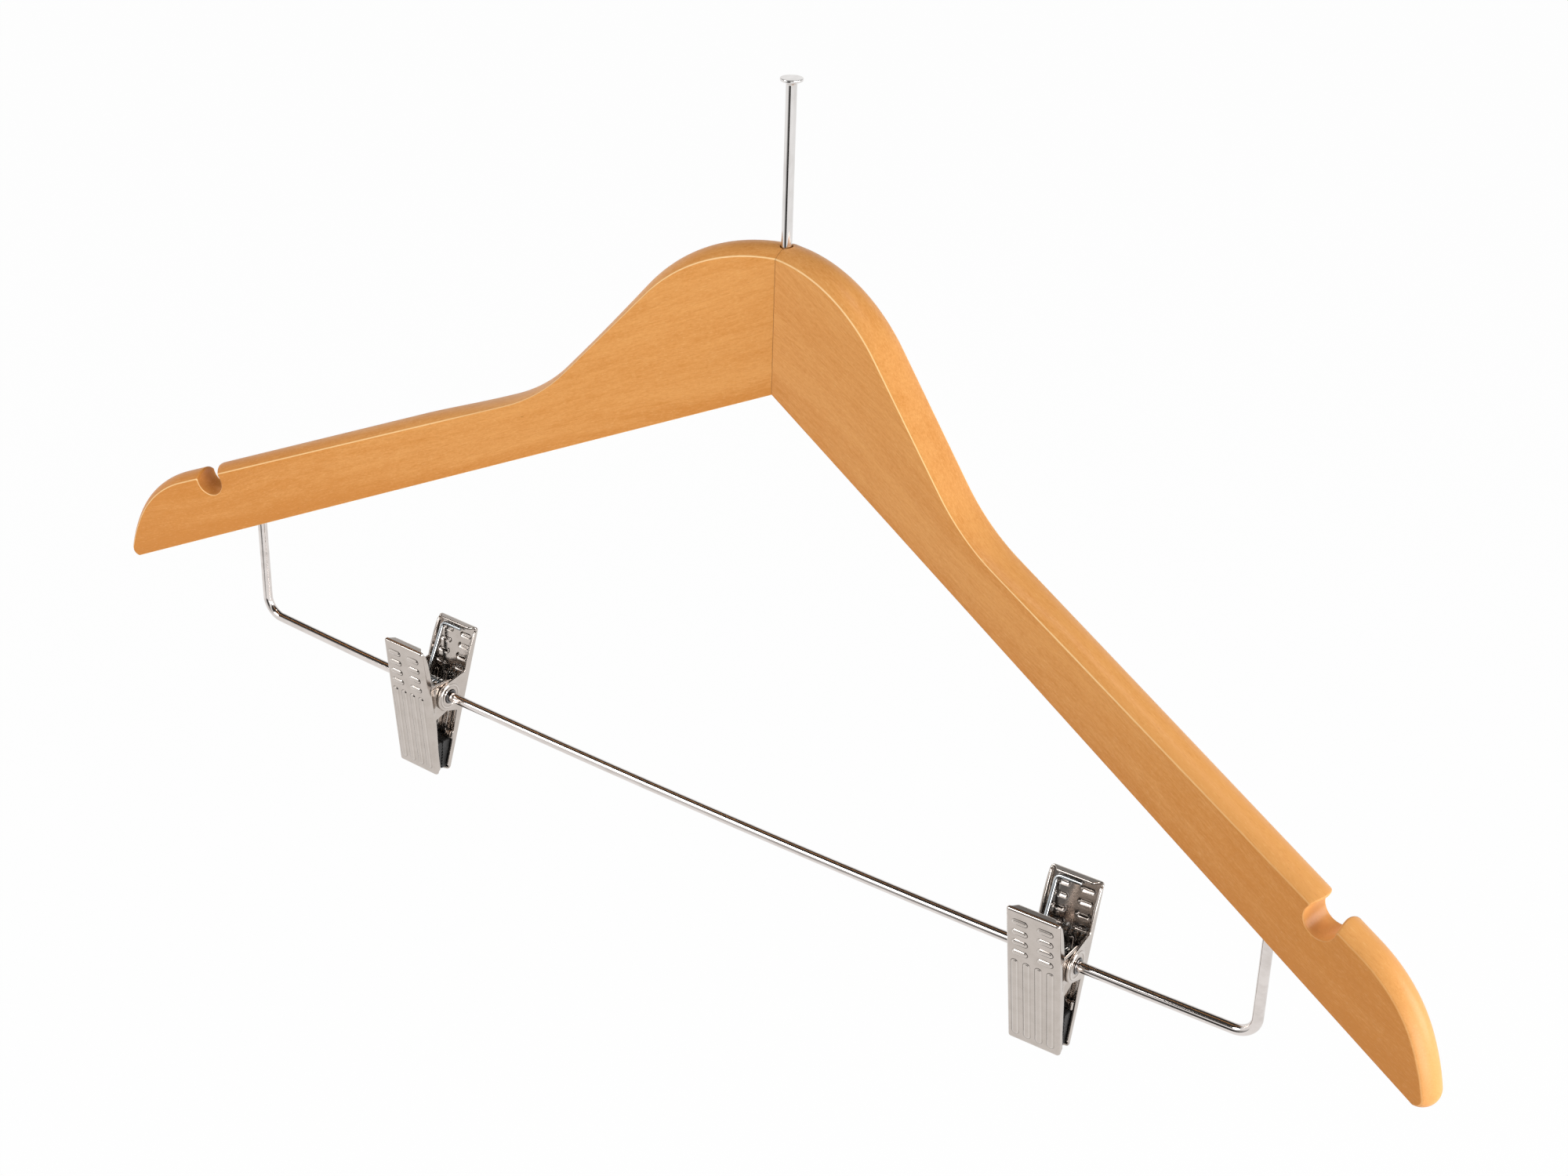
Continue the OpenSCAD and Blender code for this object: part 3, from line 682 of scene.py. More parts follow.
@dataclass
class WoodenArms:
    """Two flat arms, mitred at the middle, with a crowned top edge and eased corners."""

    thickness: float = 10.5
    top_crown: float = 2.0
    girth_at_mitre: float = 1.13
    girth_loss: float = 0.00118
    crest_at_crown: float = 1.2
    crest_at_neck: float = 0.5
    neck_run: tuple = (15.0, 60.0, 85.0, 115.0)
    sweep: float = 12.8
    rise: float = 15.7
    apex: float = 39.8
    corner_drop: float = 86.0
    edge_slope: float = 24.4
    arm_slope: float = 22.9
    neck_slope: float = 48.0
    crown_radius: float = 49.6
    crown_flat: float = 1.5
    hollow_radius: float = 56.0
    tip_start: float = 205.3
    tip_radius: float = 35.0
    tip_turn: float = 38.4
    flank_radius: float = 60.0
    corner_radius: float = 2.0
    notch_at: float = 194.4
    notch_radius: float = 4.6
    notch_sink: float = 1.8
    lip_radius: float = 0.5
    crease_radius: float = 0.6
    edge_radius: float = 0.32
    seam_gap: float = 0.02
    bore_radius: float = 1.58
    mouth_radius: float = 1.85
    mouth_depth: float = 2.5
    mouth_ease: float = 0.25
    bore_foot: float = -67.5
    cutter_reach: float = 8.0
    void_radius: float = 1.25
    void_length: float = 9.0
    kept_faces: float = 0.8
    sharp_angle: float = 40.0
    grain_turn: float = 0.8
    finish: LacqueredWood = LacqueredWood()

    def levels(self) -> tuple[np.ndarray, np.ndarray, np.ndarray]:
        """Levels through the thickness.

        The top edge is an arc over the thickness that meets the faces in small fillets, and
        the other edges are eased by a quarter circle.

        Returns:
            For each level its depth behind the front face, the height of the top edge over
            the crease line, and the inset of the other edges.
        """
        half, small = self.thickness / 2, self.crease_radius
        big = (half ** 2 + self.top_crown ** 2) / (2 * self.top_crown)
        base = self.top_crown - big
        up = math.sqrt((big - small) ** 2 - (half - small) ** 2)
        lean = math.atan2(half - small, up)
        a = np.linspace(-math.pi / 2, -lean, 7)
        fillet = spread(small + small * np.sin(a), base + up + small * np.cos(a))
        b = np.linspace(-lean, 0, 9)[1:]
        arc = spread(half + big * np.sin(b), base + big * np.cos(b))
        front = np.concatenate([fillet, arc])
        back = front[-2::-1] * [-1, 1] + [self.thickness, 0]
        depth, height = np.concatenate([front, back]).T
        near = np.minimum(np.minimum(depth, self.thickness - depth), self.edge_radius)
        inset = self.edge_radius - np.sqrt(self.edge_radius ** 2 - (self.edge_radius - near) ** 2)
        return depth, height, np.maximum(inset, -height)

    def outline(self, depth: np.ndarray, height: np.ndarray, inset: np.ndarray) -> np.ndarray:
        """The arm's outline at each level, from the mitre over the top to the tip and back.

        Every run is a straight line or an arc, moved outwards along its normal by the level's
        height. The notch is an arc about its own axis with a small arc at each lip.

        Args:
            depth: Depth of each level behind the front face.
            height: Height of the top edge at each level.
            inset: Inset of the other edges at each level.

        Returns:
            Points of x and y, in rows along the outline and columns through the thickness.
        """
        h = height[None, :, None]
        sag = math.tan(math.radians(self.neck_slope)), math.tan(math.radians(self.arm_slope))
        crown = np.array([self.crown_flat, self.apex - self.crown_radius])
        neck_top = crown + self.crown_radius * leftward(-self.neck_slope)
        cross_x = (neck_top[1] + neck_top[0] * sag[0] - self.rise) / (sag[0] - sag[1])
        corner = np.array([cross_x, self.rise - cross_x * sag[1]])
        tangent = self.hollow_radius * math.tan(math.radians(self.neck_slope - self.arm_slope) / 2)
        neck_foot = corner - tangent * ahead(-self.neck_slope)
        arm_top = corner + tangent * ahead(-self.arm_slope)
        hollow = neck_foot + self.hollow_radius * leftward(-self.neck_slope)
        tip_top = np.array([self.tip_start, self.rise - self.tip_start * sag[1]])
        tip = tip_top - self.tip_radius * leftward(-self.arm_slope)
        flank_heading = -self.arm_slope - self.tip_turn
        flank = tip + (self.tip_radius - self.flank_radius) * leftward(flank_heading)
        up, out = leftward(-self.edge_slope), ahead(-self.edge_slope)
        r, above = self.corner_radius, float(flank @ up)
        end = flank + (r - above) * up + math.sqrt((self.flank_radius - r) ** 2 - (r - above) ** 2) * out
        end_heading = math.degrees(math.atan2(*(end - flank)[::-1])) - 90

        def bend(centre: np.ndarray, radius: float, headings: np.ndarray) -> np.ndarray:
            """An arc's points at every level: centre + (radius + height) times the normal."""
            n = leftward(headings)[:, None]
            return centre + (radius + h) * n

        start = -depth * math.tan(math.radians(self.sweep)) + self.seam_gap
        t = np.linspace(0, 1, 4)[:, None]
        runs = [spread(start + (self.crown_flat - start) * t, self.apex + height)]
        runs.append(bend(crown, self.crown_radius, steps(0, -self.neck_slope, 44)))
        t = steps(0, 1, 6)[:, None, None]
        runs.append(neck_top + (neck_foot - neck_top) * t + h * leftward(-self.neck_slope))
        n = leftward(steps(-self.neck_slope, -self.arm_slope, 26))[:, None]
        runs.append(hollow - (self.hollow_radius - h) * n)
        runs += self.notched_run(arm_top, tip_top, height, inset)
        runs.append(bend(tip, self.tip_radius, steps(-self.arm_slope, flank_heading, 26)))
        runs.append(bend(flank, self.flank_radius, steps(flank_heading, end_heading, 18)))
        last = -self.edge_slope - np.degrees(np.arccos(np.clip(-(r - inset) / (r + height), -1, 1)))
        headings = end_heading + (last - end_heading) * steps(0, 1, 14)[:, None]
        runs.append(end + (r + h) * leftward(headings))
        far = runs[-1][-1] @ out
        near = (start - inset * up[0]) / out[0]
        a = far + (near - far) * steps(0, 1, 60)[:, None]
        runs.append(a[..., None] * out + inset[None, :, None] * up)
        return np.concatenate(runs)

    def notched_run(self, first: np.ndarray, last: np.ndarray, height: np.ndarray,
                    inset: np.ndarray) -> list[np.ndarray]:
        """The arm's straight top edge with the strap notch in it.

        Args:
            first: The run's first point on the crease line.
            last: Its last point on the crease line.
            height: Height of the top edge at each level.
            inset: How much wider the notch is at each level.

        Returns:
            The run's patches, in rows along it and columns through the thickness.
        """
        way, up = ahead(-self.arm_slope), leftward(-self.arm_slope)
        middle = (self.notch_at - first[0]) / way[0]
        q, over = self.lip_radius, self.notch_sink + height
        rho = self.notch_radius + inset
        reach = np.sqrt((rho + q) ** 2 - (over - q) ** 2)
        t = steps(0, 1, 50)[:, None]
        before = spread((middle - reach) * t, height)
        turn = np.arctan2(reach, -(over - q)) * steps(0, 1, 5)[:, None]
        lip = spread(-reach + q * np.sin(turn), height - q + q * np.cos(turn))
        a0 = np.arctan2(reach, over - q)
        a = a0 + (2 * np.pi - 2 * a0) * steps(0, 1, 40)[:, None]
        bowl = spread(-rho * np.sin(a), rho * np.cos(a) - self.notch_sink)
        after = lip[::-1] * [-1, 1]
        full = np.linalg.norm(last - first)
        t = steps(0, 1, 5)[:, None]
        rest = spread(middle + reach + (full - middle - reach) * t, height)
        parts = [before, lip + [middle, 0], bowl[:-1] + [middle, 0], after + [middle, 0],
                 spread(middle + reach, height)[None], rest]
        return [first + p[..., :1] * way + p[..., 1:] * up for p in parts]

    def girth(self, x: Any) -> Any:
        """The board's thickness at a place along it over its middle thickness, linear in x."""
        return self.girth_at_mitre - self.girth_loss * x

    def shape(self, side: Side) -> bpy.types.Object:
        """One arm as a closed mesh: outlines stacked through the thickness.

        The crest is a little higher over the crown, half as high along the neck and whole along
        the arm: each point is the outline without a crest plus a share of what the crest adds.
        """
        depth, height, inset = self.levels()
        start = depth * self.girth(0)
        flat, full = self.outline(start, 0 * height, inset), self.outline(start, height, inset)
        crown_end, neck_start, neck_end, arm_start = self.neck_run
        share = self.crest_at_crown \
            + (self.crest_at_neck - self.crest_at_crown) * ease(flat[..., :1], crown_end, neck_start) \
            + (1 - self.crest_at_neck) * ease(flat[..., :1], neck_end, arm_start)
        x, y = np.moveaxis(flat + share * (full - flat), -1, 0)
        depth = depth * self.girth(x)
        s, c = math.sin(math.radians(self.sweep)), math.cos(math.radians(self.sweep))
        points = spread((x * c + depth * s) * side.value, -self.thickness / 2 / c - x * s + depth * c,
                        y - self.corner_drop)
        skin = Skin()
        skin.grid(points)
        skin.flat(points[:, 0])
        skin.flat(points[:, -1])
        skin.flat(np.concatenate([points[0], points[-1, ::-1]]))
        return skin.make(f"{side.word}_arm_wood", sharp=self.sharp_angle)

    def cutter(self) -> bpy.types.Object:
        """The pin's bore with its wider mouth, and a short closed hollow along X beside the brad."""
        floor = self.apex + self.top_crown - self.corner_drop - self.mouth_depth
        r, mouth, top = self.bore_radius, self.mouth_radius, floor + self.cutter_reach
        bore = np.array([[0, self.bore_foot], [r, self.bore_foot], [r, floor],
                         [mouth, floor + self.mouth_ease], [mouth, top], [0, top]])
        skin = Skin()
        skin.grid(turned(bore), wrap=True)
        low, high = (np.array(corner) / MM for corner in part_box("retaining_brad"))
        r, near, far = self.void_radius, high[1], high[1] + self.void_length
        middle = [(low[0] + high[0]) / 2, 0, (low[2] + high[2]) / 2]
        hollow = np.array([[0, near], [r, near], [r, far], [0, far]])
        skin.grid(turned(hollow, 24, along_x=True) + middle, wrap=True)
        return skin.make("pin_bore_cutter")

    def bored(self, arm: bpy.types.Object, cutter: bpy.types.Object) -> None:
        """Cuts the cutter out of an arm, unless the result has lost too many of its faces."""
        cut = arm.modifiers.new("bore", "BOOLEAN")
        cut.operation, cut.object, cut.solver = "DIFFERENCE", cutter, "EXACT"
        bpy.context.view_layer.update()
        whole = arm.evaluated_get(bpy.context.evaluated_depsgraph_get())
        mesh = bpy.data.meshes.new_from_object(whole)
        arm.modifiers.clear()
        if len(mesh.polygons) > self.kept_faces * len(arm.data.polygons):
            arm.data = mesh
            mesh.set_sharp_from_angle(angle=math.radians(self.sharp_angle))

    def build(self) -> None:
        """Builds, bores and dresses both arms."""
        cutter = self.cutter()
        for side in Side:
            arm = self.shape(side)
            self.bored(arm, cutter)
            s, f = math.radians(self.sweep), math.radians(self.arm_slope + self.grain_turn)
            grain = np.array([side.value * math.cos(s) * math.cos(f), -math.sin(s) * math.cos(f),
                              -math.sin(f)])
            through = np.array([-side.value * math.sin(s), -math.cos(s), 0])
            up = leftward(-self.edge_slope)
            lower = np.array([side.value * up[0] * math.cos(s), -up[0] * math.sin(s), up[1]])
            low_at = float(lower @ [0, -self.thickness / 2 / math.cos(s), -self.corner_drop])
            taper = (self.thickness * self.girth(0), self.thickness * self.girth_loss,
                     (side.value * math.cos(s), -math.sin(s), 0))
            wood = self.finish.material(f"{side.word}_arm_lacquer", grain, np.cross(through, grain),
                                        self.thickness / 2, lower, low_at, taper)
            hand_over(arm, wood, "hanger", "wood", f"{side.word}_arm")
        bpy.data.objects.remove(cutter)


@dataclass
class HangingPin:
    """The plated pin with its flat nail head."""

    radius: float = 1.5
    head_radius: float = 3.1
    head_height: float = 2.0
    head_foot: float = 0.5
    rim: float = 0.6
    length: float = 66.5
    groove_radius: float = 1.0
    groove_height: float = 1.5
    groove_up: float = 4.0
    rim_ease: float = 0.12
    foot_ease: float = 0.4

    def build(self) -> None:
        """Turns the pin about its axis and dresses it.

        The profile runs up from the foot over the groove and the shank, through a small fillet
        into the head's cone, and round the head's rim to the middle of its top.
        """
        r, top, rim, g = self.radius, self.head_height, self.rim, self.rim_ease
        groove = -self.length + self.groove_up
        a = np.radians(np.linspace(0, 90, 5))
        edge = np.stack([self.head_radius - g + g * np.cos(a), top - g + g * np.sin(a)], -1)
        low = groove - self.groove_height / 2, groove + self.groove_height / 2
        profile = np.array([[0, -self.length], [r - self.foot_ease, -self.length],
                            [r, -self.length + self.foot_ease], [r, low[0]],
                            [self.groove_radius, low[0]], [self.groove_radius, low[1]], [r, low[1]],
                            [r, self.head_foot - 0.35], [r + 0.03, self.head_foot - 0.1],
                            [r + 0.12, self.head_foot + 0.08],
                            [self.head_radius - 0.05, top - rim - 0.04], [self.head_radius, top - rim + 0.05],
                            *edge, [self.head_radius * 0.7, top], [0, top]])
        skin = Skin()
        skin.grid(turned(profile, 64), wrap=True)
        pin = skin.make("hanging_pin_plated", sharp=30)
        hand_over(pin, Metal.PIN.value.material("pin_plating", (0, 0, 1)), "pin", "pin_chrome", "hanging_pin")


@dataclass
class SkirtBar:
    """The bowed bar of round wire whose two legs go up into the arms."""

    diameter: float = 3.0
    drop: float = 119.5
    reach: float = 176.4
    sag: float = 3.8
    bend: float = 6.0
    splay: float = 2.2
    socket: float = 12.0
    arms: WoodenArms = field(default_factory=WoodenArms)

    @property
    def bow_radius(self) -> float:
        """Radius of the bow, from its half length and its sag."""
        return (self.reach ** 2 + self.sag ** 2) / (2 * self.sag)

    @property
    def front(self) -> float:
        """Y of the bar's middle line."""
        return -self.reach * math.tan(math.radians(self.arms.sweep))

    @property
    def low(self) -> float:
        """Z of the bar's lowest middle line."""
        return -self.arms.corner_drop - self.drop

    def path(self) -> np.ndarray:
        """The wire's middle line: half a bow, a bend and a leg, and the same mirrored."""
        big, r = self.bow_radius, self.bend
        turn = 90 + self.splay - math.degrees(math.asin(self.reach / big))
        half = math.asin((self.reach - r * math.tan(math.radians(turn / 2))) / big)
        a = np.linspace(0, half, 60)
        bow = spread(big * np.sin(a), self.low + big * (1 - np.cos(a)))
        half_deg = math.degrees(half)
        centre = bow[-1] + r * leftward(half_deg)
        curve = centre + r * ahead(steps(half_deg - 90, self.splay, 28))
        fall = math.tan(math.radians(self.arms.edge_slope)) / math.cos(math.radians(self.arms.sweep))
        up = leftward(self.splay)
        foot = curve[-1]
        length = (-self.arms.corner_drop - foot[0] * fall - foot[1]) / (up[1] + up[0] * fall) + self.socket
        leg = foot + up * steps(0, length, 14)[:, None]
        right = np.concatenate([bow, curve, leg])
        flat = np.concatenate([right[:0:-1] * [-1, 1], right])
        return spread(flat[:, 0], self.front, flat[:, 1])

    def build(self) -> None:
        """Draws the wire along its path and dresses it."""
        path = self.path()
        skin = wire(path, np.broadcast_to([0.0, 1.0, 0.0], path.shape), self.diameter / 2, 28)
        bar = skin.make("skirt_bar_plated", sharp=40)
        hand_over(bar, Metal.BAR.value.material("bar_plating"), "hanger", "bar_chrome", "skirt_bar")


@dataclass
class SkirtClip:
    """A sprung clip of two pressed jaws on a tube that slides on the bar.

    A lozenge has its length, height, distance aside, place of the first and pitch; a bead its
    start, stop, width and pitch; the tube its outer and inner radius and length; a pad's tab
    its inset, the end of its fold and its reach; a step of an ear's ring the radii between
    which it rises and its share of the ring's height.
    """

    side: Side
    at: float
    back: float
    bar: SkirtBar = field(default_factory=SkirtBar)
    width: float = 15.7
    sheet: float = 0.7
    top: float = 20.0
    foot: float = 27.5
    handle_spread: float = 26.9
    foot_spread: float = 7.0
    bite: float = 1.0
    top_flange: float = 2.8
    side_flange: float = 3.0
    foot_flange: float = 2.2
    corner_flange: float = 1.15
    bend: float = 0.9
    ear_radius: float = 5.0
    ear_rise: float = 6.5
    ear_gap: float = 0.15
    ear_hole: float = 2.26
    ring_radius: float = 4.0
    ring_height: float = 0.25
    ring_steps: tuple = ((4.35, 4.05, 1.0), (3.5, 3.2, -0.8), (2.7, 2.45, 0.8))
    ear_rings: tuple = (2.5, 2.8, 3.05, 3.3, 3.5, 3.7, 3.85, 4.0, 4.15, 4.3, 4.45)
    press: float = 0.38
    rib: float = 0.3
    lozenge: tuple = (4.6, 1.7, 3.75, 4.1, 3.65)
    bead: tuple = (18.0, 2.4, 2.0, 3.55)
    tube: tuple = (2.2, 1.6, 17.0)
    tab: tuple = (0.3, 1.6, 3.2)
    spring_wire: float = 1.2
    spring_clearance: float = 0.4
    spring_turns: int = 6
    spring_gap: float = 0.5
    spring_foot: float = 7.5
    spring_reach: float = 18.0
    spring_bend: float = 1.5
    spring_leg: float = 12.0
    spring_air: float = 0.1
    pad_height: float = 10.0
    pad_width: float = 13.4
    pad_gap: float = 0.2
    pad_lip: float = 1.6
    pad_rib: float = 0.16
    pad_rib_pitch: float = 1.15
    pad_ease: float = 0.35

    @property
    def slope(self) -> float:
        """Outward run of a jaw's plate for each millimetre of height."""
        return (self.handle_spread - self.foot_spread) / 2 / (self.top + self.foot)

    @property
    def lean(self) -> float:
        """Lean of the plates, in radians."""
        return math.atan(self.slope)

    def place(self) -> np.ndarray:
        """The matrix that sets the clip on the bow and turns it round the bar."""
        turn = Matrix.Rotation(-math.asin(self.at / self.bar.bow_radius), 4, "Y")
        centre = Matrix.Translation((0, self.bar.front, self.bar.low + self.bar.bow_radius))
        down = Matrix.Translation((0, 0, -self.bar.bow_radius))
        return np.array(centre @ turn @ down @ Matrix.Rotation(-math.radians(self.back), 4, "X"))

    def half_of(self, front: bool) -> tuple[str, float, np.ndarray]:
        """One jaw's word, its meeting plane's distance from the pivot, and its place.

        Everything is drawn as the rear jaw's, and the place mirrors what belongs to the front.
        """
        flip = np.diag([1.0, -1.0 if front else 1.0, 1.0, 1.0])
        return "front" if front else "rear", self.bite if front else -self.bite, self.place() @ flip

    def face(self, z: Any, offset: float) -> np.ndarray:
        """Y of a plate's outer face at a height, linear in z."""
        return offset + self.foot_spread / 2 + self.slope * (np.asarray(z, float) + self.foot)

    def pressed(self, x: np.ndarray, z: np.ndarray) -> np.ndarray:
        """Height of the pressed pattern over the plate.

        Each lozenge and bead is a soft step of the distance to the line through its middle.
        """
        v = z / math.cos(self.lean)
        top = self.top / math.cos(self.lean)
        length, height, aside, first, pitch = self.lozenge
        cx = np.array([-aside, aside])[:, None, None, None]
        cv = (top - first - pitch * np.arange(4))[None, :, None, None]
        d = np.hypot(np.maximum(np.abs(x - cx) - (length - height) / 2, 0), v - cv)
        lift = (1 - ease(d, height / 2 - 0.32, height / 2 + 0.12)).max(axis=(0, 1))
        start, stop, wide, apart = self.bead
        high, low = top - start, stop - self.foot / math.cos(self.lean)
        cx = (np.arange(4) - 1.5)[:, None, None] * apart
        d = np.hypot(x - cx, np.maximum(np.abs(v - (high + low) / 2) - (high - low - wide) / 2, 0))
        rise = (1 - ease(d, wide / 2 - 0.35, wide / 2 + 0.2)).max(axis=0)
        return np.maximum(self.press * lift, self.rib * rise)

    def flange(self, anchors: np.ndarray, out: np.ndarray) -> np.ndarray:
        """Depth of the folded rim along the plate's border.

        It is small at the four corners, even along the top and the foot, and grows along each
        side like a quarter ellipse.

        Args:
            anchors: Points of x and z on the border of the flat part.
            out: Outward direction at each point.

        Returns:
            The depth at each point.
        """
        x, z = anchors.T
        half, small = self.width / 2 - self.bend, self.corner_flange
        top = small + (self.top_flange - small) * ease(half - np.abs(x), 0, 1.8)
        foot = small + (self.pad_lip - small) * ease(half - np.abs(x), 0, 1.0)
        t = np.clip((z - self.ear_rise) / (self.top - self.bend - self.ear_rise), 0, 1)
        upper = small + (self.side_flange - small) * np.sqrt(1 - t ** 2)
        t = (z + self.foot - self.bend) / (self.foot - self.bend - self.ear_rise)
        lower = small + (self.foot_flange - small) * ease(z + self.foot - self.bend, 0, 1.2) \
            + (self.side_flange - self.foot_flange) * ease(t, 0.3, 1)
        sideways = np.abs(out[:, 0]) > STRAIGHT
        depth = np.where(out[:, 1] > STRAIGHT, top, np.where(out[:, 1] < -STRAIGHT, foot, small))
        return np.where(sideways & (z >= self.ear_rise - NEARLY), upper,
                        np.where(sideways & (z <= -self.ear_rise + NEARLY), lower, depth))

    def shell(self, offset: float, inner: bool) -> Skin:
        """The outer skin of one jaw, drawn as the rear one, at y > 0.

        The plate is a height field. Its rim is a quarter circle and a flange carried along
        the plate's border, and each ear is a fan between its hole and its outline.

        Args:
            offset: How far the jaws' meeting plane lies from the pivot on this side.
            inner: Whether the ears step inwards, to pass inside the other jaw's.

        Returns:
            The skin, open on its inner side.
        """
        half, r, e = self.width / 2 - self.bend, self.bend, self.ear_rise
        xs = np.linspace(-half, half, 74)
        low, high = -self.foot + r, self.top - r
        zs = np.concatenate([np.linspace(low, -e, 88), steps(-e, e, 90), steps(e, high, 50)])

        def put(x: np.ndarray, depth: np.ndarray, z: np.ndarray) -> np.ndarray:
            """A point at a depth behind the plate's outer face."""
            return spread(x, self.face(z, offset) - depth, z)

        skin = Skin()
        x, z = xs[None, :], zs[:, None]
        skin.grid(put(x, -self.pressed(x, z) / math.cos(self.lean), z))
        quarter = np.linspace(-90, 0, 9)
        flat_x, flat_z = spread(xs, 0), spread(0, zs)
        corner = np.zeros((len(quarter), 2))
        anchors = np.concatenate([flat_x + [0, low], corner + [half, low], flat_z + [half, 0],
                                  corner + [half, high], flat_x[::-1] + [0, high],
                                  corner + [-half, high], flat_z[::-1] + [-half, 0],
                                  corner + [-half, low]])
        out = np.concatenate([ahead(-90 + 0 * xs), ahead(quarter), ahead(0 * zs), ahead(quarter + 90),
                              ahead(90 + 0 * xs), ahead(quarter + 180), ahead(180 + 0 * zs),
                              ahead(quarter + 270)])
        a = np.radians(np.linspace(0, 90, 7))
        reach = anchors[:, None] + r * np.sin(a)[None, :, None] * out[:, None]
        skin.grid(put(reach[..., 0], r * (1 - np.cos(a)), reach[..., 1]))
        edge = anchors + r * out
        depth = self.flange(anchors, out)
        t = np.linspace(0, 1, 9)[None, :]
        strip = put(edge[:, :1], r + (depth[:, None] - r) * t, edge[:, 1:])
        beside = (np.abs(out[:, 0]) > STRAIGHT) & (np.abs(anchors[:, 1]) < e - NEARLY)
        keep = np.split(np.arange(len(edge)), np.flatnonzero(np.diff(beside.astype(int))) + 1)
        runs = [k for k in keep if not beside[k[0]]]
        for k in [runs[1], np.concatenate([runs[2], runs[0]])]:
            skin.grid(strip[k])
        for sign in (-1, 1):
            self.ear(skin, zs[np.abs(zs) <= e + NEARLY], offset, sign, inner)
        return skin

    def ear(self, skin: Skin, zs: np.ndarray, offset: float, sign: int, inner: bool) -> None:
        """Adds one ear: points run straight from the hole to a circle, and on to the outline.

        Args:
            skin: The jaw's skin.
            zs: Heights of the plate's rows beside the ear.
            offset: How far the meeting plane lies from the pivot.
            sign: Which side of the clip it is on.
            inner: Whether it steps inwards.
        """
        e, r, end = self.ear_rise, self.bend, self.ear_radius
        side = spread(self.face(zs, offset) - r, zs)

        def cross(z: float) -> np.ndarray:
            """The flange's edge at the ear's upper or lower end."""
            t = np.linspace(0, 1, 9)
            return spread(self.face(z, offset) - r - (self.side_flange - r) * t, z)

        upper, lower = cross(e), cross(-e)
        q, p = upper[-1], lower[-1]
        a = math.atan2(q[1], q[0]) + math.acos(end / np.linalg.norm(q))
        b = 2 * math.pi + math.atan2(p[1], p[0]) - math.acos(end / np.linalg.norm(p))
        arc = np.linspace(a, b, 44)
        curve = end * spread(np.cos(arc), np.sin(arc))
        t = steps(0, 1, 18)[:-1, None]
        border = np.concatenate([side, upper[1:], q + (curve[0] - q) * t, curve,
                                 curve[-1] + (p - curve[-1]) * t, lower[:0:-1]])
        turn = np.arctan2(border[:, 1], border[:, 0])
        near = np.array([self.ear_hole, *self.ear_rings])
        rings = near[:, None, None] * spread(np.cos(turn), np.sin(turn))
        t = steps(0, 1, 10)[:, None, None]
        fan = np.concatenate([rings, rings[-1] + (border - rings[-1]) * t])
        y, z = fan[..., 0], fan[..., 1]
        radius, depth = np.hypot(y, z), self.face(z, offset) - y
        shift = self.ring_height * sum(share * ease(radius, start, stop)
                                       for start, stop, share in self.ring_steps)
        if inner:
            shift = -(self.sheet + self.ear_gap) * ease(depth, 1.6, 4.4) * ease(-np.abs(z), -e, -e + 2.6)
        x = sign * (self.width / 2 + shift)
        skin.grid(spread(x, y, z), wrap=True)

    def tabs(self, skin: Skin, offset: float) -> None:
        """Adds the two folded tabs that hold the pad's upper end."""
        high = -self.foot + self.sheet + self.pad_height
        z = np.linspace(high + 0.2, high + 2.8, 6)[:, None]
        start, fold, stop = self.width / 2 - np.array(self.tab)
        for sign in (-1, 1):
            x = sign * np.linspace(start, stop, 8)[None, :]
            y = self.face(z, offset) - self.foot_flange + 0.25 - 0.5 * ease(np.abs(x), start, fold)
            skin.grid(spread(x, y, z))

    def jaw(self, front: bool) -> None:
        """Builds and dresses one jaw."""
        word, offset, place = self.half_of(front)
        skin = self.shell(offset, inner=front)
        self.tabs(skin, offset)
        jaw = skin.make(f"{self.side.word}_{word}_jaw_pressed", place, sharp=50)
        outward = place[:3, :3] @ np.array([0, math.cos(self.lean), -math.sin(self.lean)])
        normals = np.zeros(len(jaw.data.polygons) * 3)
        jaw.data.polygons.foreach_get("normal", normals)
        if (normals.reshape(-1, 3) @ outward).sum() < 0:
            jaw.data.flip_normals()
        wall = jaw.modifiers.new("sheet", "SOLIDIFY")
        wall.thickness, wall.offset, wall.use_even_offset = self.sheet * MM, -1, True
        self.keep_places(jaw, place)
        hand_over(jaw, PressedSheet().material(f"{self.side.word}_{word}_nickel", self),
                  f"{self.side.word}_{word}", "nickel", f"{self.side.word}_{word}_jaw")

    def keep_places(self, piece: bpy.types.Object, place: np.ndarray) -> None:
        """Keeps each point's place in the clip's own frame, in millimetres, as an attribute."""
        count = len(piece.data.vertices)
        co = np.zeros(count * 3)
        piece.data.vertices.foreach_get("co", co)
        own = (co.reshape(-1, 3) / MM - place[:3, 3]) @ place[:3, :3]
        piece.data.attributes.new(PLACES, "FLOAT_VECTOR", "POINT").data.foreach_set("vector", own.ravel())

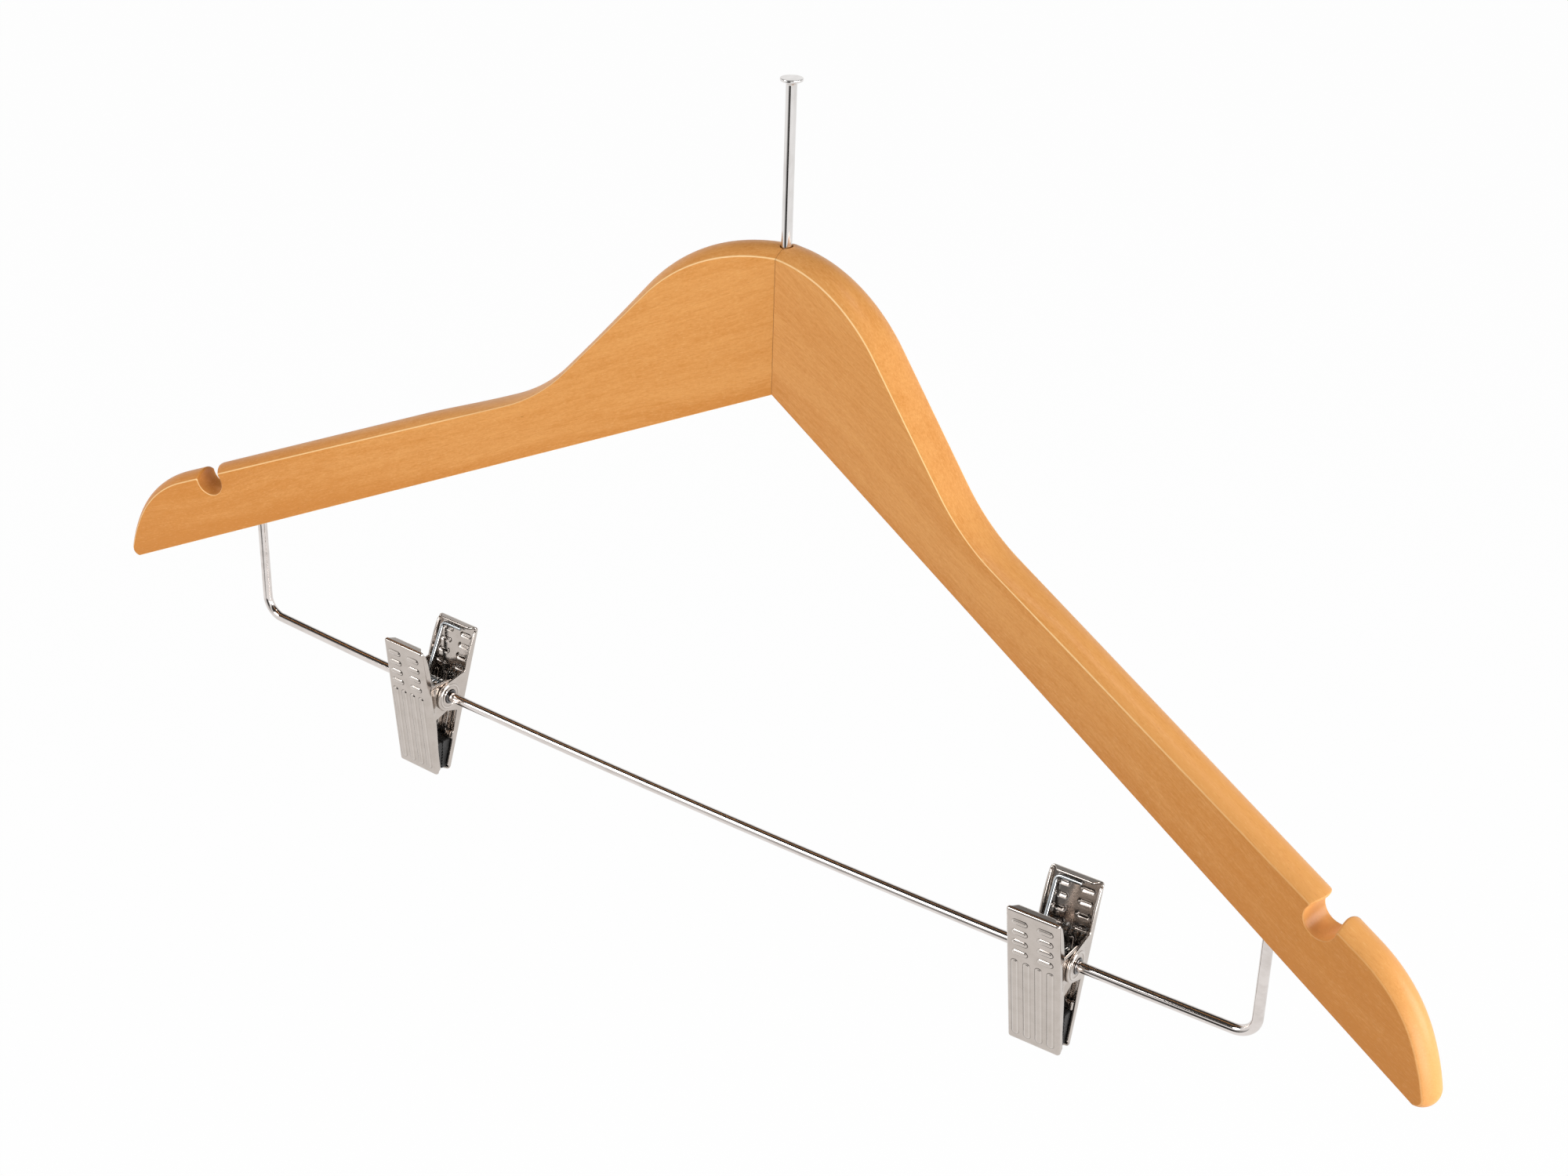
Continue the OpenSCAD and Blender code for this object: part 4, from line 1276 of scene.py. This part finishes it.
    def pad(self, front: bool) -> None:
        """Builds and dresses one rubber pad: its outline carried across, with eased ends."""
        word, offset, place = self.half_of(front)
        low = -self.foot + self.sheet
        high = low + self.pad_height
        bite = offset + self.pad_gap / 2
        back = (self.sheet + self.press) / math.cos(self.lean)
        q = self.pad_ease
        z = np.linspace(low + 0.4, high - 0.4, 80)
        ribs = bite + self.pad_rib * (1 - np.cos(2 * np.pi * (z - low) / self.pad_rib_pitch))
        behind = [[self.face(high, offset) - back - 0.3, high], [self.face(high, offset) - back, high - q],
                  [self.face(low, offset) - back, low + q], [self.face(low, offset) - back - 0.3, low]]
        outline = np.concatenate([[[bite + q, low]], spread(ribs, z), [[bite + q, high]], behind])
        middle = outline.mean(axis=0)
        half = self.pad_width / 2
        xs = np.concatenate([[-half, -half + 0.1, -half + q], np.linspace(-half + 0.9, half - 0.9, 5),
                             [half - q, half - 0.1, half]])
        ends = [0.88, 0.96, 1.0]
        keep = np.concatenate([ends, np.ones(5), ends[::-1]])
        flat = middle + (outline - middle) * keep[:, None, None]
        rows = np.concatenate([np.broadcast_to(xs[:, None, None], (*flat.shape[:2], 1)), flat], -1)
        skin = Skin()
        skin.grid(rows, wrap=True)
        skin.flat(rows[0])
        skin.flat(rows[-1])
        pad = skin.make(f"{self.side.word}_{word}_pad_rubber", place, sharp=40)
        hand_over(pad, MouldedRubber().material(f"{self.side.word}_{word}_rubber"),
                  f"{self.side.word}_{word}", "pad_rubber", f"{self.side.word}_{word}_pad")

    def pivot_tube(self) -> None:
        """Builds and dresses the tube that carries both jaws and runs on the bar."""
        outer, inner, length = self.tube
        x, g = length / 2, 0.12
        profile = np.array([[inner, -x + g], [inner + g, -x], [outer - g, -x], [outer, -x + g],
                            [outer, x - g], [outer - g, x], [inner + g, x], [inner, x - g], [inner, -x + g]])
        skin = Skin()
        skin.grid(turned(profile, 40, along_x=True), wrap=True)
        tube = skin.make(f"{self.side.word}_tube_drawn", self.place(), sharp=30)
        hand_over(tube, Metal.STEEL.value.material(f"{self.side.word}_tube_steel"),
                  f"{self.side.word}_slider", "steel", f"{self.side.word}_pivot_tube")

    def spring_path(self) -> tuple[np.ndarray, np.ndarray, float]:
        """The spring's middle line: front foot and leg, helix, rear leg and foot.

        The helix advances evenly along X, and each leg leaves it along its tangent.

        Returns:
            The points, a side direction at each, and the helix's length.
        """
        radius = self.tube[0] + self.spring_clearance + self.spring_wire / 2
        behind = self.sheet / math.cos(self.lean) + self.press + self.spring_wire / 2 + self.spring_air

        def leg(offset: float, x: float, turn: int) -> tuple[np.ndarray, float]:
            """Points from a foot's end down to the end of its bend, and the leg's lean."""
            y, z = float(self.face(self.spring_reach, offset)) - behind, self.spring_reach
            tilt = math.acos(radius / math.hypot(y, z)) - math.atan2(z, y)
            down = np.array([0, -math.sin(tilt), -math.cos(tilt)])
            corner, cross = np.array([x, y, z]), np.array([turn, 0, 0])
            a = np.radians(np.linspace(0, 90, 10))[:, None]
            curve = corner + self.spring_bend * ((1 - np.sin(a)) * cross + (1 - np.cos(a)) * down)
            foot = corner + cross * np.linspace(self.spring_foot, self.spring_bend + 0.5, 5)[:, None]
            low = curve[-1] + down * steps(0, self.spring_leg, 8)[:, None]
            return np.concatenate([foot, curve, low]), math.degrees(tilt)

        tilt = leg(self.bite, 0, -1)[1], leg(-self.bite, 0, 1)[1]
        start, stop = 180 + tilt[0], 360 * (self.spring_turns + 1) - tilt[1]
        pitch = self.spring_wire + self.spring_gap
        length = pitch * (stop - start) / 360
        a = np.linspace(start, stop, 260)
        coil = spread(length / 2 - pitch * (a - start) / 360,
                      radius * np.cos(np.radians(a)), radius * np.sin(np.radians(a)))
        front = leg(self.bite, length / 2, -1)[0] * [1, -1, 1]
        rear = leg(-self.bite, -length / 2, 1)[0][::-1]
        radial = coil * [0, 1, 1]
        sides = np.concatenate([np.broadcast_to(radial[0], front.shape), radial,
                                np.broadcast_to(radial[-1], rear.shape)])
        return np.concatenate([front, coil, rear]), sides, length

    def spring(self) -> None:
        """Builds and dresses the spring.

        It is first handed to the rear jaw's body, then let go of it again and left fixed in the hanger's
        frame.
        """
        path, sides, length = self.spring_path()
        skin = wire(path, sides, self.spring_wire / 2, 14)
        name = self.side.word
        spring = skin.make(f"{name}_spring_wire", self.place(), sharp=40)
        hand_over(spring, Metal.SPRING.value.material(f"{name}_spring_plating", (0, 0, 1)),
                  f"{name}_rear", "spring_steel", f"{name}_spring")
        spring.parent = None
        ends = self.place() @ np.array([[-length / 2, 0, 0, 1], [length / 2, 0, 0, 1]]).T * MM
        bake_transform(spring)

    def build(self) -> None:
        """Builds the whole clip."""
        for front in (False, True):
            self.jaw(front)
            self.pad(front)
        self.pivot_tube()
        self.spring()


@dataclass
class HiddenJoinery:
    """The dowels and the brad, which keep their solids and get their finishes."""

    nodes: dict

    def build(self) -> None:
        """Dresses the three solids.

        The dowels' faces and lower edge are set far off, which leaves out a board's lighter band of wear
        and painted highlight beside each face and its deeper lower edge, and their seam is almost nothing.
        """
        pale = LacqueredWood(pale=tint(214, 184, 134), deep=tint(196, 160, 108), coat=0.0)
        grain, up = np.array([1, 0, 0]), np.array([0, 0, 1])
        half, lower_at, seam_width = 50.0, -500.0, 0.01
        for name in ("lower_dowel", "upper_dowel"):
            wood = pale.material(f"{name}_wood", grain, up, half, up, lower_at, (2 * half, 0.0, (1, 0, 0)),
                                 seam_width)
            dress(self.nodes[name], wood)
        dress(self.nodes["retaining_brad"], Metal.STEEL.value.material("brad_steel", (0, 1, 0)))


@dataclass
class Studio:
    """Pale floor, soft lamps and the camera at the photograph's angle, in metres and degrees.

    Each lamp has its name, its place, the sizes of its face and its power in watts.
    """

    floor_height: float = -0.62
    floor_radius: float = 14.0
    floor_white: float = 0.98
    aim: tuple = (0, 0, -0.12)
    lamps: tuple = (("front_left_box", (-0.42, -0.72, 0.36), (0.45, 0.45), 5.3),
                    ("right_box", (1.68, -0.54, -0.08), (0.9, 0.7), 17.8),
                    ("back_right_box", (1.0, 0.32, 0.08), (0.5, 0.6), 7.0),
                    ("top_box", (0.3, 0.3, 1.5), (0.5, 0.35), 3.6))
    eye: tuple = (0.29565, -0.4437, 0.1538)
    azimuth: float = 33.43
    elevation: float = 29.68
    roll: float = 1.87
    lens: float = 47.736
    fill: float = 0.42
    ceiling_from: float = 15.0
    ceiling_full: float = 36.0
    flag_at: float = -10.0
    flag_far: float = 0.75
    flag_width: float = 0.97
    flag_full: float = 0.35
    flag_lift: float = 0.01
    flag_top: float = -0.1

    def camera(self) -> None:
        """Places the camera: its axes come from azimuth, elevation and roll."""
        a, e, r = (math.radians(v) for v in (self.azimuth, self.elevation, self.roll))
        back = Vector((math.sin(a) * math.cos(e), -math.cos(a) * math.cos(e), math.sin(e)))
        right = Vector((math.cos(a), math.sin(a), 0))
        up = back.cross(right)
        right, up = math.cos(r) * right + math.sin(r) * up, -math.sin(r) * right + math.cos(r) * up
        data = bpy.data.cameras.new("photo_camera")
        data.lens, data.sensor_width = self.lens, 36
        data.clip_start, data.clip_end = 0.01, 60
        camera = bpy.data.objects.new("photo_camera", data)
        camera.matrix_world = Matrix.Translation(self.eye) @ Matrix((right, up, back)).transposed().to_4x4()
        bpy.context.scene.collection.objects.link(camera)
        bpy.context.scene.camera = camera

    def lamp(self, name: str, where: tuple, size: tuple, power: float) -> None:
        """Adds a soft white lamp that looks at the hanger's middle."""
        data = bpy.data.lights.new(name, "AREA")
        data.shape, data.size, data.size_y = "RECTANGLE", *size
        data.energy = power
        lamp = bpy.data.objects.new(name, data)
        lamp.location = where
        lamp.rotation_euler = (Vector(where) - Vector(self.aim)).to_track_quat("Z", "Y").to_euler()
        bpy.context.scene.collection.objects.link(lamp)

    def flag(self) -> None:
        """Stands a dark panel, fading to its left, beside the photographer: only metal mirrors it."""
        a = math.radians(self.flag_at)
        foot = np.array([math.sin(a), -math.cos(a)]) * self.flag_far
        side = np.array([math.cos(a), math.sin(a)]) * self.flag_width / 2
        x = np.linspace(-1, 1, 3)[None, :]
        z = np.linspace(self.floor_height + self.flag_lift, self.flag_top, 5)[:, None]
        skin = Skin()
        skin.grid(spread(foot[0] + side[0] * x, foot[1] + side[1] * x, z) / MM)
        panel = skin.make("dark_flag")
        tree = Tree("dark_flag_cloth")
        weave = tree.noise(tree.place(), 900, 2)
        black = tree.mix(weave, (0.02, 0.018, 0.016, 1), (0.03, 0.028, 0.026, 1))
        cloth = tree.add("BsdfDiffuse", {}, {"Color": black})
        clear = tree.add("BsdfTransparent", {}, {})
        across = tree.along(tuple(side) + (0,)) / (self.flag_width / 2) ** 2 / METRE
        both = tree.add("MixShader", {}, {0: across.between(-1.0, self.flag_full), 1: clear, 2: cloth})
        tree.add("OutputMaterial", {}, {"Surface": both})
        dress(panel, tree.owner)
        panel.visible_camera = panel.visible_diffuse = panel.visible_shadow = False

    def seen(self, t: Tree) -> Val:
        """1 for rays from the camera, from a mirror or through glass, and 0 for light."""
        camera, mirror, glass = (t.add("LightPath", {}, {}, f"Is {kind} Ray")
                                 for kind in ("Camera", "Glossy", "Transmission"))
        return camera.math("MAXIMUM", mirror.math("MAXIMUM", glass))

    def floor(self) -> None:
        """Lays a wide pale floor that keeps a soft shadow."""
        r, t = np.linspace(0, self.floor_radius, 15)[:, None], np.linspace(0, 2 * np.pi, 49)
        skin = Skin()
        skin.grid(spread(r * np.cos(t), r * np.sin(t), self.floor_height) / MM)
        ground = skin.make("pale_floor")
        tree = Tree("pale_floor_paint")
        here = tree.place()
        grain = tree.noise(here, 30, 3)
        colour = tree.mix(grain, (0.88, 0.88, 0.88, 1), (0.90, 0.90, 0.90, 1))
        paint = tree.add("BsdfDiffuse", {}, {"Color": colour})
        white = tree.add("Emission", {}, {"Color": (1, 1, 1, 1), "Strength": 1.0})
        both = tree.add("MixShader", {}, {0: self.seen(tree) * self.floor_white, 1: paint, 2: white})
        tree.add("OutputMaterial", {}, {"Surface": both})
        dress(ground, tree.owner)

    def world(self) -> None:
        """A pale surround under a dim ceiling: white where it is seen, softer where it lights."""
        tree = Tree("studio_air", "worlds")
        height = tree.add("SeparateXYZ", {}, {0: tree.add("TexCoord", {}, {})}, 2)
        ceiling = height.between(*(math.sin(math.radians(v)) for v in (self.ceiling_from, self.ceiling_full)))
        pale, dim, dark = (1, 1, 1, 1), (0.4, 0.4, 0.4, 1), (0.05, 0.048, 0.045, 1)
        light, white = (tree.add("Background", {}, {"Color": tree.mix(ceiling, pale, above),
                                                    "Strength": power})
                        for above, power in ((dim, self.fill), (dark, 1.0)))
        both = tree.add("MixShader", {}, {0: self.seen(tree), 1: light, 2: white})
        tree.add("OutputWorld", {}, {"Surface": both})
        bpy.context.scene.world = tree.owner

    def build(self) -> None:
        """Sets up floor, surround, lamps, camera and the plain view transform."""
        self.floor()
        self.world()
        for lamp in self.lamps:
            self.lamp(*lamp)
        self.flag()
        self.camera()
        bpy.context.scene.view_settings.view_transform = "Standard"


def main() -> None:
    """Builds the hanger's sub-assemblies in order, then the studio."""
    logging.basicConfig(level=logging.INFO, format="%(name)s: %(message)s")
    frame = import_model()
    WoodenArms().build()
    HangingPin().build()
    SkirtBar().build()
    SkirtClip(Side.LEFT, at=-103.8, back=6.5).build()
    SkirtClip(Side.RIGHT, at=118.2, back=4.0).build()
    HiddenJoinery(frame["nodes"]).build()
    Studio().build()


if __name__ == "__main__":
    main()
